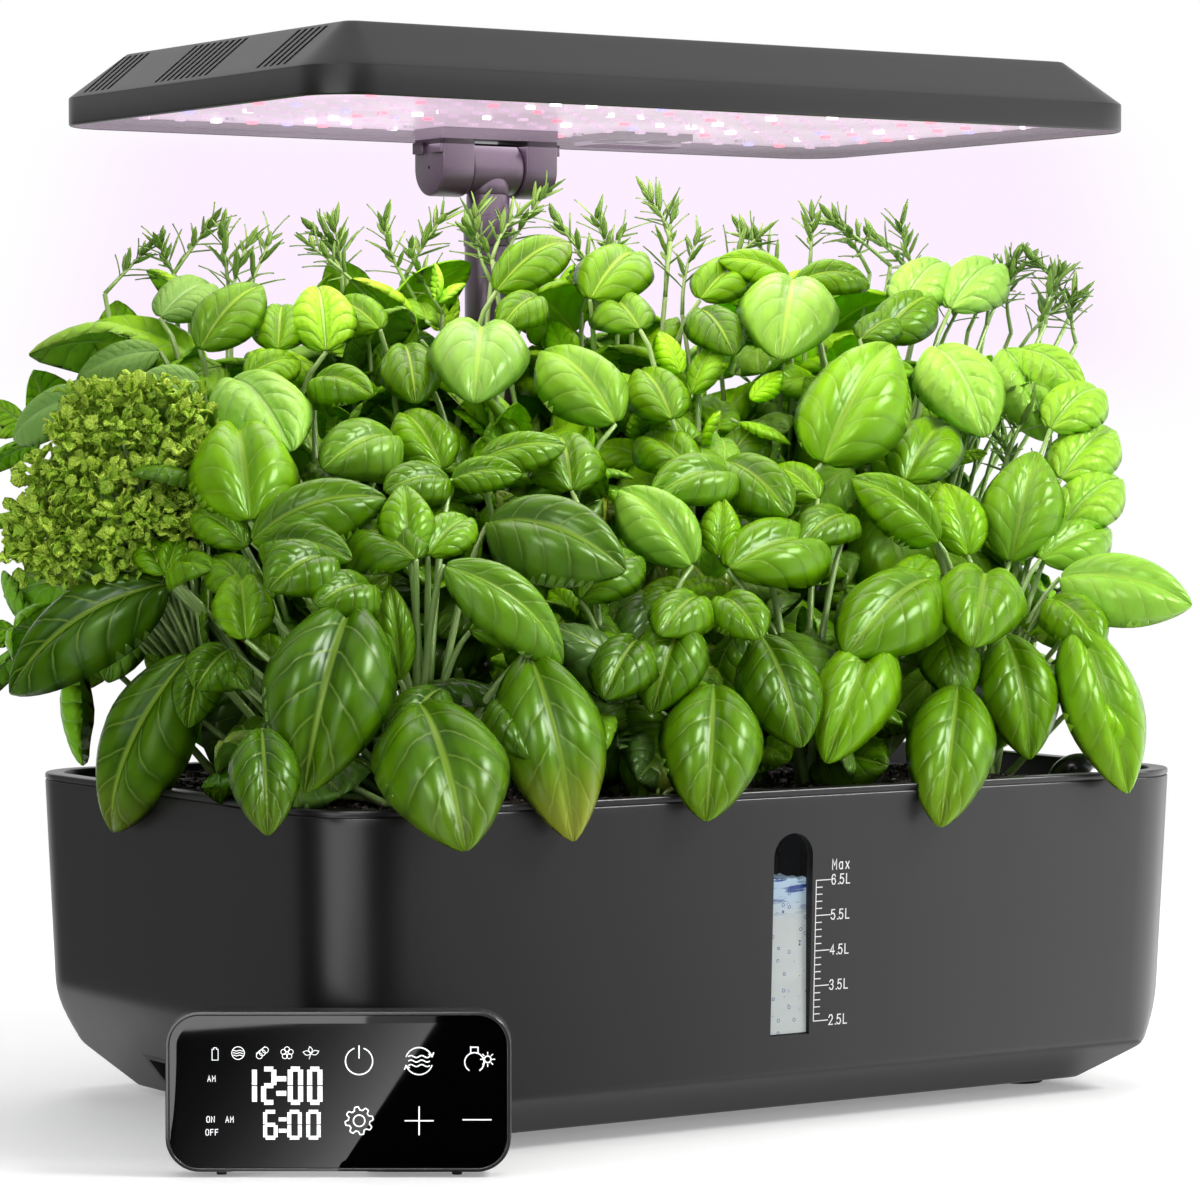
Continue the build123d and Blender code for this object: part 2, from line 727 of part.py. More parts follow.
def make_mast():
    tube_low = tray_top - socket_depth
    flange_high = tray_top + socket_flange_thickness
    socket = post(socket_flange_radius, tray_top, flange_high)
    socket += post(socket_radius, tray_top, tray_top + socket_height)
    socket += post(socket_boss_radius, tube_low - socket_floor, tray_top + overlap)
    socket -= post(outer_tube_radius, tube_low, tray_top + socket_height + overlap)
    place = Pos(mast_x, mast_y, 0)
    socket = place * socket
    screws = []
    shank_low = tray_low - overlap
    for x, y in socket_screw_places():
        socket -= post(screw_hole_radius, tray_top - overlap, flange_high + overlap, x, y)
        head_high = flange_high + screw_head_height
        shank = post(screw_shank_radius, shank_low, flange_high, x, y)
        screws.append(shank + post(screw_head_radius, flange_high, head_high, x, y))
    tube_high = mast_top - collar_cap
    bore = inner_tube_radius + slide_fit
    outer = post(outer_tube_radius, tube_low, tube_high)
    outer -= post(bore, tube_low - overlap, tube_high + overlap)
    collar = post(collar_radius, mast_top - collar_height, mast_top)
    collar -= post(outer_tube_radius, mast_top - collar_height - overlap, tube_high)
    collar -= post(bore, tube_high - overlap, mast_top + overlap)
    spigot_radius = inner_tube_radius - inner_tube_wall
    inner = post(inner_tube_radius, rim_height + inner_tube_low_rise, neck_seam)
    inner -= post(spigot_radius, rim_height, neck_seam + overlap)
    across = Pos(mast_x, hinge_y, pin_z) * Rot(0, 90, 0)
    knuckle = across * Cylinder(knuckle_radius, knuckle_width)
    knuckle += place * post(inner_tube_radius, neck_seam, pin_z)
    knuckle += place * post(spigot_radius, neck_seam - neck_spigot, neck_seam)
    knuckle -= across * Cylinder(pin_radius + pin_fit, 2 * knuckle_width)
    hole_z = neck_seam - neck_screw_drop
    screw_in = spigot_radius / 2
    forwards = Pos(0, 0, hole_z) * Rot(90, 0, 0) * Pos(0, 0, screw_in)
    drill_length = inner_tube_radius + overlap - screw_in
    drill = forwards * Cylinder(neck_screw_radius, drill_length, align=low_centre)
    screw_length = inner_tube_radius - inner_tube_wall - screw_in
    screw = forwards * Cylinder(neck_screw_radius, screw_length, align=low_centre)
    inner -= drill
    knuckle -= place * drill
    washers = []
    for side in (-1, 1):
        x = mast_x + side * (knuckle_width + washer_thickness) / 2
        washer = Cylinder(washer_radius, washer_thickness)
        washer -= Cylinder(pin_radius + pin_fit, 2 * washer_thickness)
        washers.append(Pos(x, hinge_y, pin_z) * Rot(0, 90, 0) * washer)
    return {
        "mast_socket": socket,
        "socket_screws": group(screws),
        "outer_tube": place * outer,
        "tube_collar": place * collar,
        "inner_tube": place * inner,
        "hinge_knuckle": knuckle,
        "neck_screw": place * screw,
        "hinge_washers": group(washers),
    }


# ---------------------------------------------------------------- hinge on the lamp
def hinge_half_width():
    return knuckle_width / 2 + cheek_gap + cheek_width


def make_hinge():
    half = hinge_half_width()
    inner_half = knuckle_width / 2 + cheek_gap
    y0 = hinge_y - cheek_radius
    y1 = hinge_y + cheek_radius
    low = lens_low - cheek_low_drop + cheek_radius
    flange_low_z = lens_low + hinge_flange_rise
    flange_high_z = flange_low_z + hinge_flange_thickness
    bridge = box_between(mast_x - half, mast_x + half, y0, y1, lens_low, flange_high_z)
    reach = half + hinge_flange_over
    bridge += box_between(mast_x - reach, mast_x + reach, y0, y1, flange_low_z, flange_high_z)
    clips = []
    for side in (-1, 1):
        x0 = mast_x + side * inner_half
        x1 = mast_x + side * half
        cheek = box_between(min(x0, x1), max(x0, x1), y0, y1, low, lens_low)
        round_end = Cylinder(cheek_radius, cheek_width)
        cheek += Pos((x0 + x1) / 2, hinge_y, low) * Rot(0, 90, 0) * round_end
        bridge += cheek
        for sy in (-1, 1):
            y = hinge_y + sy * (cheek_radius - clip_width)
            clip = Box(clip_depth, clip_width, clip_height, align=low_centre)
            clips.append(Pos(x1 + side * clip_depth / 2, y, lens_low - clip_height - clip_drop) * clip)
    across = Pos(mast_x, hinge_y, pin_z) * Rot(0, 90, 0)
    bridge -= across * Cylinder(pin_radius + pin_fit, 2 * half + 2 * overlap)
    head_seat = half - pin_head_height
    pin = across * Cylinder(pin_radius, 2 * head_seat)
    for side in (-1, 1):
        head = Cylinder(pin_head_radius, pin_head_height)
        place = Pos(mast_x + side * (head_seat + pin_head_height / 2), hinge_y, pin_z) * Rot(0, 90, 0)
        bridge -= place * Cylinder(pin_head_radius + pin_fit, pin_head_height)
        pin += place * head
    for clip in clips:
        bridge += clip
    for x, y in hinge_screw_places():
        bridge -= post(screw_hole_radius, flange_low_z - overlap, flange_high_z + overlap, x, y)
    return {"hinge_bracket": bridge, "hinge_pin": pin}


def hinge_screw_places():
    """Centres of the four screws that hold the hinge in the lamp."""
    reach = hinge_half_width() + hinge_flange_over / 2
    y = cheek_radius / 2
    return [(mast_x + sx * reach, hinge_y - y / 2 + sy * y) for sx in (-1, 1) for sy in (-1, 1)]


# ---------------------------------------------------------------- lamp
def lamp_form(inset, low):
    """The lamp's outside, set in by inset: an upright band, then slopes up to a flat top."""
    length = lamp_length - 2 * inset
    depth = lamp_depth - 2 * inset
    corner = lamp_corner - inset
    band = plate(length, depth, corner, low, lamp_crease, mast_x, lamp_y)
    top_length = lamp_length - 2 * lamp_slope_x - inset
    top_depth = lamp_depth - 2 * lamp_slope_y - inset
    place = Pos(mast_x, lamp_y)
    base_ring = Plane.XY.offset(lamp_crease) * place * RectangleRounded(length, depth, corner)
    top_ring = RectangleRounded(top_length, top_depth, lamp_top_corner)
    top_ring = Plane.XY.offset(lamp_top - inset) * place * top_ring
    return band + loft([base_ring, top_ring], ruled=True)


def lamp_plate(inset, low, high):
    """Flat plate with the lamp's outline, set in by inset, between two heights."""
    length = lamp_length - 2 * inset
    depth = lamp_depth - 2 * inset
    return plate(length, depth, lamp_corner - inset, low, high, mast_x, lamp_y)


def vent_cutters():
    """Slots that run up the two end slopes, in groups along the lamp's depth."""
    slope = hypot(lamp_slope_x, lamp_slope_rise)
    cutters = []
    for side in (-1, 1):
        middle_x = mast_x + side * (lamp_length - lamp_slope_x) / 2
        middle_z = lamp_crease + lamp_slope_rise / 2
        outwards = (side * lamp_slope_rise, 0, lamp_slope_x)
        for centre, count in vent_groups:
            for slot in range(count):
                y = centre + (slot - (count - 1) / 2) * vent_pitch
                frame = Plane(origin=(middle_x, y, middle_z), x_dir=(0, 1, 0), z_dir=outwards)
                cutters.append(frame * Box(vent_slot, slope - 2 * vent_end_gap, 4 * lamp_wall))
    return cutters


def board_boss_places():
    """Centres of the posts that carry the light board."""
    places = []
    for column in range(boss_columns):
        x = mast_x + (column / (boss_columns - 1) - 0.5) * boss_x_span
        for side in (-1, 1):
            places.append((x, lamp_y + side * boss_y_span / 2))
    return places


def clear_of(x, y, centre_x, centre_y, half_x, half_y):
    """True where the point lies outside a rectangle."""
    return abs(x - centre_x) > half_x or abs(y - centre_y) > half_y


def chip_places():
    """Centres of the light chips on a grid, left out over the hinge, the fan and the screws."""
    span_x = lamp_length - 2 * (lens_lip + ledge_width + chip_margin)
    span_y = lamp_depth - 2 * (lens_lip + ledge_width + chip_margin)
    places = []
    for column in range(chip_columns):
        for row in range(chip_rows):
            x = mast_x + (column / (chip_columns - 1) - 0.5) * span_x
            y = lamp_y + (row / (chip_rows - 1) - 0.5) * span_y
            hinge_x = hinge_half_width() + chip_clearance
            fan_room = fan_size / 2 + chip_size
            free = clear_of(x, y, mast_x, hinge_y, hinge_x, cheek_radius + chip_clearance)
            free = free and clear_of(x, y, fan_x, fan_y, fan_room, fan_room)
            for boss_x, boss_y in board_boss_places():
                free = free and hypot(x - boss_x, y - boss_y) > boss_radius + chip_size
            if free:
                places.append((column, row, x, y))
    return places


def make_lamp():
    outside = lamp_form(0.0, lens_low)
    hollow = lamp_form(lamp_wall, lens_low - overlap)
    ledge_inset = lens_lip + ledge_width
    housing = outside - hollow
    housing += lamp_plate(overlap, lens_top, ledge_top) - lamp_plate(ledge_inset, lens_low, lamp_crease)
    lens_room = lamp_plate(lens_lip, lens_low - overlap, lens_top)
    housing += lamp_plate(overlap / 2, lens_low, lens_top) - lens_room
    housing -= lens_room
    for cutter in vent_cutters():
        housing -= cutter
    screws = []
    for x, y in board_boss_places():
        housing += post(boss_radius, board_top, lamp_top, x, y) & outside
    for x, y in hinge_screw_places():
        boss_low = lens_low + hinge_flange_rise + hinge_flange_thickness
        housing += post(boss_radius, boss_low, lamp_top, x, y) & outside
        screw_high = boss_low + hinge_flange_thickness
        housing -= post(screw_shank_radius, boss_low - overlap, screw_high, x, y)
        seat = lens_low + hinge_flange_rise
        shank = post(screw_shank_radius, seat, screw_high, x, y)
        screws.append(shank + post(screw_head_radius, seat - screw_head_height, seat, x, y))
    for x, y in board_boss_places():
        screw_high = board_top + board_screw_depth
        housing -= post(screw_shank_radius, board_top - overlap, screw_high, x, y)
        shank = post(screw_shank_radius, ledge_top, screw_high, x, y)
        screws.append(shank + post(screw_head_radius, ledge_top - screw_head_height / 2, ledge_top, x, y))
    lens = lamp_plate(lens_lip, lens_low, lens_top)
    hinge_half = hinge_half_width() + hinge_fit
    cheek_half = cheek_radius + hinge_fit
    window = Box(2 * hinge_half, 2 * cheek_half, 2 * lamp_band)
    window = Pos(mast_x, hinge_y, lens_low) * window
    lens -= window
    slot_low = lens_low - overlap
    slot_high = lens_top + overlap
    lens -= plate(air_slot_length, air_slot_depth, air_slot_corner, slot_low, slot_high, fan_x, air_slot_y)
    board = lamp_plate(lamp_wall + board_gap, ledge_top, board_top)
    board -= window
    fan_room = fan_size + 2 * board_gap
    board -= plate(fan_room, fan_room, board_gap, lens_top, board_top + overlap, fan_x, fan_y)
    for x, y in board_boss_places():
        board -= post(screw_hole_radius, ledge_top - overlap, board_top + overlap, x, y)
    chips = {"red": [], "blue": [], "white": []}
    for column, row, x, y in chip_places():
        pattern = (2 * column + 3 * row) % 7
        colour = {0: "red", 3: "red", 5: "blue"}.get(pattern, "white")
        chip = Pos(x, y, ledge_top - chip_height) * Box(chip_size, chip_size, chip_height, align=low_centre)
        chips[colour].append(chip)
    return {
        "lamp_housing": housing,
        "lamp_lens": lens,
        "light_board": board,
        "lamp_screws": group(screws),
        "white_leds": group(chips["white"]),
        "red_leds": group(chips["red"]),
        "blue_leds": group(chips["blue"]),
    }


def make_fan():
    low = lens_top
    high = low + fan_height
    frame = plate(fan_size, fan_size, fan_corner, low, high)
    frame -= post(fan_bore_radius, low - overlap, high + overlap)
    hub_low = low + fan_base
    struts = post(fan_hub_radius, low, hub_low)
    strut = box_between(0, fan_bore_radius + overlap, -fan_strut / 2, fan_strut / 2, low, hub_low)
    for turn in range(fan_struts):
        struts += Rot(0, 0, 360 * turn / fan_struts + fan_strut_turn) * strut
    frame += struts
    shaft_high = high - fan_base
    frame += post(fan_shaft_radius, low, shaft_high)
    rotor_low = hub_low + fan_gap
    rotor_high = high - fan_base / 2
    rotor = post(fan_hub_radius, rotor_low, rotor_high)
    blade_height = fan_height - 2 * fan_base - fan_blade_gap
    blade = Pos(fan_rotor_radius / 2, 0, 0) * Box(fan_rotor_radius, fan_blade, blade_height)
    blade = Pos(0, 0, (rotor_low + rotor_high) / 2) * Rot(fan_blade_pitch, 0, 0) * blade
    for turn in range(fan_blades):
        rotor += Rot(0, 0, 360 * turn / fan_blades) * blade
    rotor -= post(fan_shaft_radius + shaft_fit, rotor_low - overlap, high + overlap)
    place = Pos(fan_x, fan_y, 0)
    return {"fan_frame": place * frame, "fan_rotor": place * rotor}


def make_driver():
    low = board_top + driver_stand_off
    high = low + board_thickness
    board = plate(driver_length, driver_depth, driver_corner, low, high, driver_x, driver_y)
    for sx in (-1, 1):
        for sy in (-1, 1):
            x = driver_x + sx * (driver_length / 2 - 2 * driver_post_radius)
            y = driver_y + sy * (driver_depth / 2 - 2 * driver_post_radius)
            board += post(driver_post_radius, board_top, low, x, y)
    room = lamp_top - lamp_wall - high - driver_headroom
    coil = Box(coil_size, coil_size, room, align=low_centre)
    parts = [Pos(driver_x + coil_offset, driver_y, high) * coil]
    for x, y in capacitor_places:
        parts.append(post(capacitor_radius, high, high + room, driver_x + x, driver_y + y))
    return {"driver_board": board, "driver_parts": group(parts)}


# ---------------------------------------------------------------- console
def console_place():
    """Moves the console from its own frame (face at y = 0, floor at z = 0) to where it stands."""
    return Pos(console_x, console_y, 0) * Rot(0, 0, -console_turn)


def console_slab(inset, front, back):
    """Rounded upright slab of the console's outline, set in by inset, between two depths."""
    centre = console_raise + console_height / 2
    face = RectangleRounded(console_width - 2 * inset, console_height - 2 * inset, console_corner - inset)
    plane = Plane(origin=(0, front, centre), x_dir=(1, 0, 0), z_dir=(0, 1, 0))
    return extrude(plane * face, amount=back - front)


def make_console():
    rim = console_slab(0.0, 0.0, console_rim_depth)
    rim -= console_slab(console_rim, -overlap, console_rim_depth + overlap)
    glass_inset = console_rim + console_fit
    glass_back = console_glass_recess + console_glass
    glass = console_slab(glass_inset, console_glass_recess, glass_back)
    shell = console_slab(0.0, console_rim_depth, console_depth)
    shell -= console_slab(console_wall, console_rim_depth - overlap, console_depth - console_wall)
    board_front = glass_back + 2 * console_board_thickness
    board_back = board_front + console_board_thickness
    board = console_slab(console_wall + 2 * console_fit, board_front, board_back)
    centre = console_raise + console_height / 2
    display_left = console_corner - console_width / 2
    display_right = display_left + console_display_width
    low = centre - console_display_height / 2
    high = centre + console_display_height / 2
    display = box_between(display_left, display_right, glass_back, board_front, low, high)
    touch_left = display_right + 2 * console_wall
    touch_right = console_width / 2 - console_corner
    touch = box_between(touch_left, touch_right, glass_back, board_front, low, high)
    battery_back = console_depth - console_wall
    battery = box_between(
        -console_battery_length / 2, console_battery_length / 2,
        battery_back - console_battery_thickness, battery_back,
        centre - console_battery_height / 2, centre + console_battery_height / 2,
    )
    spacer = Cylinder(console_spacer_radius, battery_back - board_back, align=low_centre)
    for sx in (-1, 1):
        for sz in (-1, 1):
            x = sx * (console_width / 2 - console_corner)
            z = centre + sz * (console_height / 2 - console_corner)
            shell += Pos(x, board_back, z) * Rot(-90, 0, 0) * spacer
    back = console_depth
    stand = box_between(-stand_width / 2, stand_width / 2, back, back + stand_reach, 0, stand_thickness)
    stand += box_between(-stand_width / 2, stand_width / 2, back, back + stand_thickness, 0, stand_back_height)
    pads = []
    for side in (-1, 1):
        x = side * (console_width / 2 - console_pad_inset)
        pads.append(post(console_pad_radius, 0, console_raise, x, console_depth / 2))
    place = console_place()
    pieces = {
        "console_rim": rim,
        "console_glass": glass,
        "console_shell": shell,
        "console_board": board,
        "console_display": display,
        "console_touch_pad": touch,
        "console_battery": battery,
        "console_stand": stand,
        "console_pads": group(pads),
    }
    return {name: place * shape for name, shape in pieces.items()}


def main():
    pieces = {}
    makers = (
        make_tank, make_inlet, make_pump, make_lid, make_pods, make_cap, make_plants,
        make_mast, make_hinge, make_lamp, make_fan, make_driver, make_console,
    )
    for maker in makers:
        pieces.update(maker())
    corners = [shape.bounding_box() for shape in pieces.values()]
    middle_x = (min(c.min.X for c in corners) + max(c.max.X for c in corners)) / 2
    middle_y = (min(c.min.Y for c in corners) + max(c.max.Y for c in corners)) / 2
    print("tank centre", round(-middle_x, 4), round(-middle_y, 4))
    os.makedirs("parts", exist_ok=True)
    for name, shape in pieces.items():
        export_step(Pos(-middle_x, -middle_y, 0) * shape, f"parts/{name}.step")


main()
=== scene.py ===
"""Countertop hydroponic garden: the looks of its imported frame, laid out as a Blender add-on.

Shapes are worked out in millimetres from the tank's centre on the floor, +Z up, and are moved into
the frame's metres when a piece is made.
"""

import math
from functools import cache, partialmethod

import bpy
import numpy as np
from bpy.props import FloatProperty, FloatVectorProperty, IntProperty, PointerProperty
from mathutils import Matrix, Vector


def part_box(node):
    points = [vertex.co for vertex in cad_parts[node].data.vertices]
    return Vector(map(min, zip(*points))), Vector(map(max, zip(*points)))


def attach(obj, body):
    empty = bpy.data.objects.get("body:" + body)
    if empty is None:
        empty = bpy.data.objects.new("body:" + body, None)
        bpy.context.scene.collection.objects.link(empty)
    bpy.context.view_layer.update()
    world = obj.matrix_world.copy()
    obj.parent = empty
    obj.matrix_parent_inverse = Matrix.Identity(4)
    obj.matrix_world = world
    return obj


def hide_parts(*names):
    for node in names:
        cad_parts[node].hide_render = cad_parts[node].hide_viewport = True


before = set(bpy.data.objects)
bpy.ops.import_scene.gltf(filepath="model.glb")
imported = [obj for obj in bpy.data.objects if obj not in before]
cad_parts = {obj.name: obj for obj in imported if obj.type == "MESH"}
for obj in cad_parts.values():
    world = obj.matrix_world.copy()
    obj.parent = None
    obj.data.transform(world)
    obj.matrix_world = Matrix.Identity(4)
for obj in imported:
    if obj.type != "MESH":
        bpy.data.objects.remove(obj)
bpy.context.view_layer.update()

bl_info = {
    "name": "Countertop hydroponic garden",
    "version": (1, 0, 0),
    "blender": (4, 5, 0),
    "location": "3D View > Sidebar > Garden",
    "description": "Dresses the packed garden: tank, lamp, console, herbs and stage",
    "category": "Object",
}

MM = 0.001

tank_low, tank_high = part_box("tank_shell")
CENTRE = np.array([(tank_low.x + tank_high.x) / 2, (tank_low.y + tank_high.y) / 2, 0.0])


def span(node):
    """Lowest and highest corner of a node, in millimetres from the tank's centre on the floor."""
    low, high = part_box(node)
    return (np.array(low) - CENTRE) / MM, (np.array(high) - CENTRE) / MM


LID_LOW, LID_HIGH = span("planting_lid")
RIM = LID_HIGH[2]
RIM_LENGTH = LID_HIGH[0] - LID_LOW[0]
RIM_DEPTH = LID_HIGH[1] - LID_LOW[1]
SHELL_TOP = span("tank_shell")[1][2]
UNDERSIDE = span("tank_shell")[0][2]
LAMP_LOW, LAMP_HIGH = span("lamp_housing")
LAMP_MIDDLE = (LAMP_LOW + LAMP_HIGH) / 2
MAST_LOW, MAST_HIGH = span("outer_tube")
MAST_MIDDLE = (MAST_LOW + MAST_HIGH) / 2
PIN_LOW, PIN_HIGH = span("hinge_pin")
PIN_MIDDLE = (PIN_LOW + PIN_HIGH) / 2
CAP_LOW, CAP_HIGH = span("refill_cap")
CAP_MIDDLE = (CAP_LOW[:2] + CAP_HIGH[:2]) / 2
BED_LOW, BED_HIGH = span("soil_bed")

# tank form, as in the frame's source
RIM_CORNER = 29.3
WALL_LEAN = 0.035
TANK_WALL = 2.6
TANK_FLOOR = 3.0
END_CREASE_DROP = 78.0
SIDE_CREASE_DROP = 101.7
END_FOOT_INSET = 34.3
SIDE_FOOT_INSET = 31.6
CREASE_SOFTNESS = 1.1
WINDOW_WIDTH = 16.9
WINDOW_TOP_DROP = 15.6
WINDOW_LOW_DROP = 87.7
WATER_DROP = 32.2

# lid form
FLANGE_WIDTH = 7.0
FLANGE_THICKNESS = 2.0
SEAM_DEPTH = 0.8
TRAY_DROP = 10.0
TRAY_THICKNESS = 2.4

# lamp form
LAMP_CORNER = 20.3
LAMP_BAND = 10.5
LAMP_SLOPE_X = 20.2
LAMP_SLOPE_Y = 21.5
LAMP_TOP_CORNER = 4.0
LENS_LIP = 1.8
LENS_THICKNESS = 2.0
LAMP_WALL = 2.2
VENT_SLOT = 2.2
VENT_PITCH = 4.7
VENT_END_GAP = 2.0
VENT_GROUPS = ((84.8, 5), (19.0, 9), (-47.2, 5))

# console
CONSOLE_TURN = 33.3
CONSOLE_RAISE = 1.6

# camera: where it stands from the tank's centre, and how it looks
CAMERA_PLACE = (-927.989, -1407.171, 244.655)
CAMERA_YAW = 33.271192
CAMERA_PITCH = -2.06325
CAMERA_LENS = 134.9
SENSOR_WIDTH = 36.0
VIEW_SIZE = 1200.0
VIEW_SCALE = CAMERA_LENS / SENSOR_WIDTH * VIEW_SIZE


# ---------- view to millimetres
def camera_axes():
    """Unit vectors to the camera's right, up and forwards, from its yaw and pitch."""
    yaw, pitch = math.radians(CAMERA_YAW), math.radians(CAMERA_PITCH)
    forwards = np.array([math.sin(yaw) * math.cos(pitch), math.cos(yaw) * math.cos(pitch), math.sin(pitch)])
    right = np.array([math.cos(yaw), -math.sin(yaw), 0.0])
    return right, np.cross(right, forwards), forwards


def view_points(u, v, y):
    """Where the camera's ray through the view's point (u, v) meets the upright plane at depth y."""
    right, up, forwards = camera_axes()
    u, v, y = (np.asarray(a, float)[..., None] for a in (u, v, y))
    ray = forwards + right * (u - VIEW_SIZE / 2) / VIEW_SCALE - up * (v - VIEW_SIZE / 2) / VIEW_SCALE
    start = np.array(CAMERA_PLACE)
    return start + ray * (y - start[1]) / ray[..., 1:2]


# ---------- surfaces
class Surface:
    """One mesh gathered from grids: points in millimetres, faces, UV pairs, tones and material places."""

    def __init__(self):
        self.points, self.faces, self.uvs, self.tones, self.places = [], [], [], [], []
        self.total = 0

    def add(self, points, faces, uv=None, tone=None, place=0):
        """Adds points (n, 3) with face blocks of three or four columns that count from zero."""
        points = np.asarray(points, float).reshape(-1, 3)
        count = len(points)
        self.points.append(points)
        self.uvs.append(np.zeros((count, 2)) if uv is None else np.asarray(uv, float).reshape(-1, 2))
        tone = np.ones((count, 4)) * 0.5 if tone is None else np.asarray(tone, float).reshape(-1, 4)
        self.tones.append(tone)
        for block in faces:
            self.faces.append(np.asarray(block) + self.total)
            self.places.append(np.full(len(block), place))
        self.total += count
        return self

    def mesh(self, name, sharp):
        """The Blender mesh: smooth shaded, with edges past the sharp angle kept crisp."""
        points = np.concatenate(self.points) * MM + CENTRE
        faces = []
        for block in self.faces:
            faces.extend(block.tolist())
        mesh = bpy.data.meshes.new(name)
        mesh.from_pydata(points.tolist(), [], faces)
        mesh.polygons.foreach_set("material_index", np.concatenate(self.places).astype(np.int32))
        corner = np.zeros(len(mesh.loops), np.int32)
        mesh.loops.foreach_get("vertex_index", corner)
        layer = mesh.uv_layers.new(name="UVMap")
        layer.data.foreach_set("uv", np.concatenate(self.uvs)[corner].ravel())
        tone = mesh.attributes.new("tone", "FLOAT_COLOR", "POINT")
        tone.data.foreach_set("color", np.concatenate(self.tones).astype(np.float32).ravel())
        mesh.shade_smooth()
        if sharp is not None:
            mesh.set_sharp_from_angle(angle=math.radians(sharp))
        mesh.update()
        return mesh


def grid_faces(rows, columns, wrap=False):
    """Quads of a grid of rows by columns points; wrap joins the last column to the first."""
    low = np.arange(rows - 1)[:, None] * columns
    here = np.arange(columns if wrap else columns - 1)[None, :]
    after = (here + 1) % columns
    corners = (low + here, low + after, low + columns + after, low + columns + here)
    return np.stack(np.broadcast_arrays(*corners), -1).reshape(-1, 4)


def closed_faces(rows, count):
    """Faces of rows of rings, and fans that close them to the two points that follow."""
    here = np.arange(count)
    after = (here + 1) % count
    last = (rows - 1) * count
    foot = np.stack([np.full(count, rows * count), after, here], -1)
    head = np.stack([last + here, last + after, np.full(count, rows * count + 1)], -1)
    return [grid_faces(rows, count, wrap=True), foot, head]


def skin(rings, surface=None, place=0, tone=None):
    """Closed skin over rings (rows, points, 3), anticlockwise from above and outwards going up.

    Each ring joins the next by quads, and a fan to the ring's middle closes the first and last.
    """
    rings = np.asarray(rings, float)
    points = np.concatenate([rings.reshape(-1, 3), [rings[0].mean(0)], [rings[-1].mean(0)]])
    surface = Surface() if surface is None else surface
    tone = None if tone is None else np.tile(tone, (len(points), 1))
    return surface.add(points, closed_faces(*rings.shape[:2]), place=place, tone=tone)


def rounded_ring(half_x, half_y, corner, steps=16, along=12):
    """Rounded rectangle, anticlockwise: four quarter circles of the corner's radius, joined by runs."""
    arcs = []
    for quarter, (x, y) in enumerate(((1, 1), (-1, 1), (-1, -1), (1, -1))):
        turn = np.radians(90 * quarter + np.linspace(0, 90, steps + 1))
        middle = np.array([x * (half_x - corner), y * (half_y - corner)])
        arcs.append(middle + corner * np.stack([np.cos(turn), np.sin(turn)], -1))
    share = np.linspace(0, 1, along + 2)[1:-1, None]
    parts = []
    for arc, then in zip(arcs, arcs[1:] + arcs[:1]):
        parts += [arc, arc[-1] + (then[0] - arc[-1]) * share]
    return np.concatenate(parts)


def level(outline, height, x=0.0, y=0.0):
    """Outline (n, 2) set at a height and moved sideways."""
    out = np.empty((len(outline), 3))
    out[:, 0], out[:, 1], out[:, 2] = outline[:, 0] + x, outline[:, 1] + y, height
    return out


def plate_rings(half_x, half_y, corner, profile, x=0.0, y=0.0):
    """Rings of a rounded rectangle carried along a profile of (inset, height) pairs."""
    return [
        level(rounded_ring(half_x - inset, half_y - inset, max(corner - inset, 0.2)), height, x, y)
        for inset, height in profile
    ]


def edge_profile(low, high, radius, steps=4):
    """Profile of a plate's side from low to high with both edges rounded: (inset, height) pairs."""
    turn = np.radians(np.linspace(0, 90, steps + 1))
    bottom = [(radius * (1 - math.sin(t)), low + radius * (1 - math.cos(t))) for t in turn]
    top = [(inset, low + high - height) for inset, height in reversed(bottom)]
    return [(3 * radius, low), *bottom, *top, (3 * radius, high)]


def lathe(profile, middle, surface=None, segments=48, axis="z", place=0, tone=None):
    """Profile of (radius, height) pairs turned about an axis through middle: r cos t, r sin t, h."""
    turn = np.linspace(0, 2 * np.pi, segments, endpoint=False)
    radius, height = np.array(profile, float).T
    ring = np.stack([np.cos(turn), np.sin(turn)], -1)
    rings = np.zeros((len(radius), segments, 3))
    rings[..., :2] = radius[:, None, None] * ring
    rings[..., 2] = height[:, None]
    if axis == "x":
        rings = rings[..., [2, 0, 1]]
    if axis == "y":
        rings = rings[..., [1, 2, 0]]
    return skin(rings + np.asarray(middle, float), surface, place, tone)


def rounded_post(radius, low, high, edge):
    """Lathe profile of a post with both its edges rounded."""
    turn = np.radians(np.linspace(0, 90, 5))
    bottom = [(radius - edge + edge * math.sin(t), low + edge - edge * math.cos(t)) for t in turn]
    top = [(r, low + high - h) for r, h in reversed(bottom)]
    return [*bottom, *top]


# corners of a box in shares of its size, and its faces
BOX_CORNERS = np.array([[x, y, z] for z in (0, 1) for x, y in ((0, 0), (1, 0), (1, 1), (0, 1))])
BOX_FACES = np.array([[0, 3, 2, 1], [4, 5, 6, 7], [0, 1, 5, 4], [1, 2, 6, 5], [2, 3, 7, 6], [3, 0, 4, 7]])


def block(surface, low, high, turn=None):
    """Box between two corners, or turned by a 4 x 4 matrix about the origin first."""
    points = np.where(BOX_CORNERS, np.array(high, float), np.array(low, float))
    if turn is not None:
        points = points @ turn[:3, :3].T + turn[:3, 3]
    return surface.add(points, [BOX_FACES])


# ---------- pieces
def make_piece(name, surface, finishes, body, node=None, sharp=35.0):
    """Makes the mesh an object that rides on a body, and hides the node that it stands for."""
    mesh = surface.mesh(name, sharp)
    piece = bpy.data.objects.new(name, mesh)
    bpy.context.scene.collection.objects.link(piece)
    for finish in (finishes,) if isinstance(finishes, str) else finishes:
        mesh.materials.append(finish_of(finish))
    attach(piece, body)
    if node:
        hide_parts(node)
    return piece


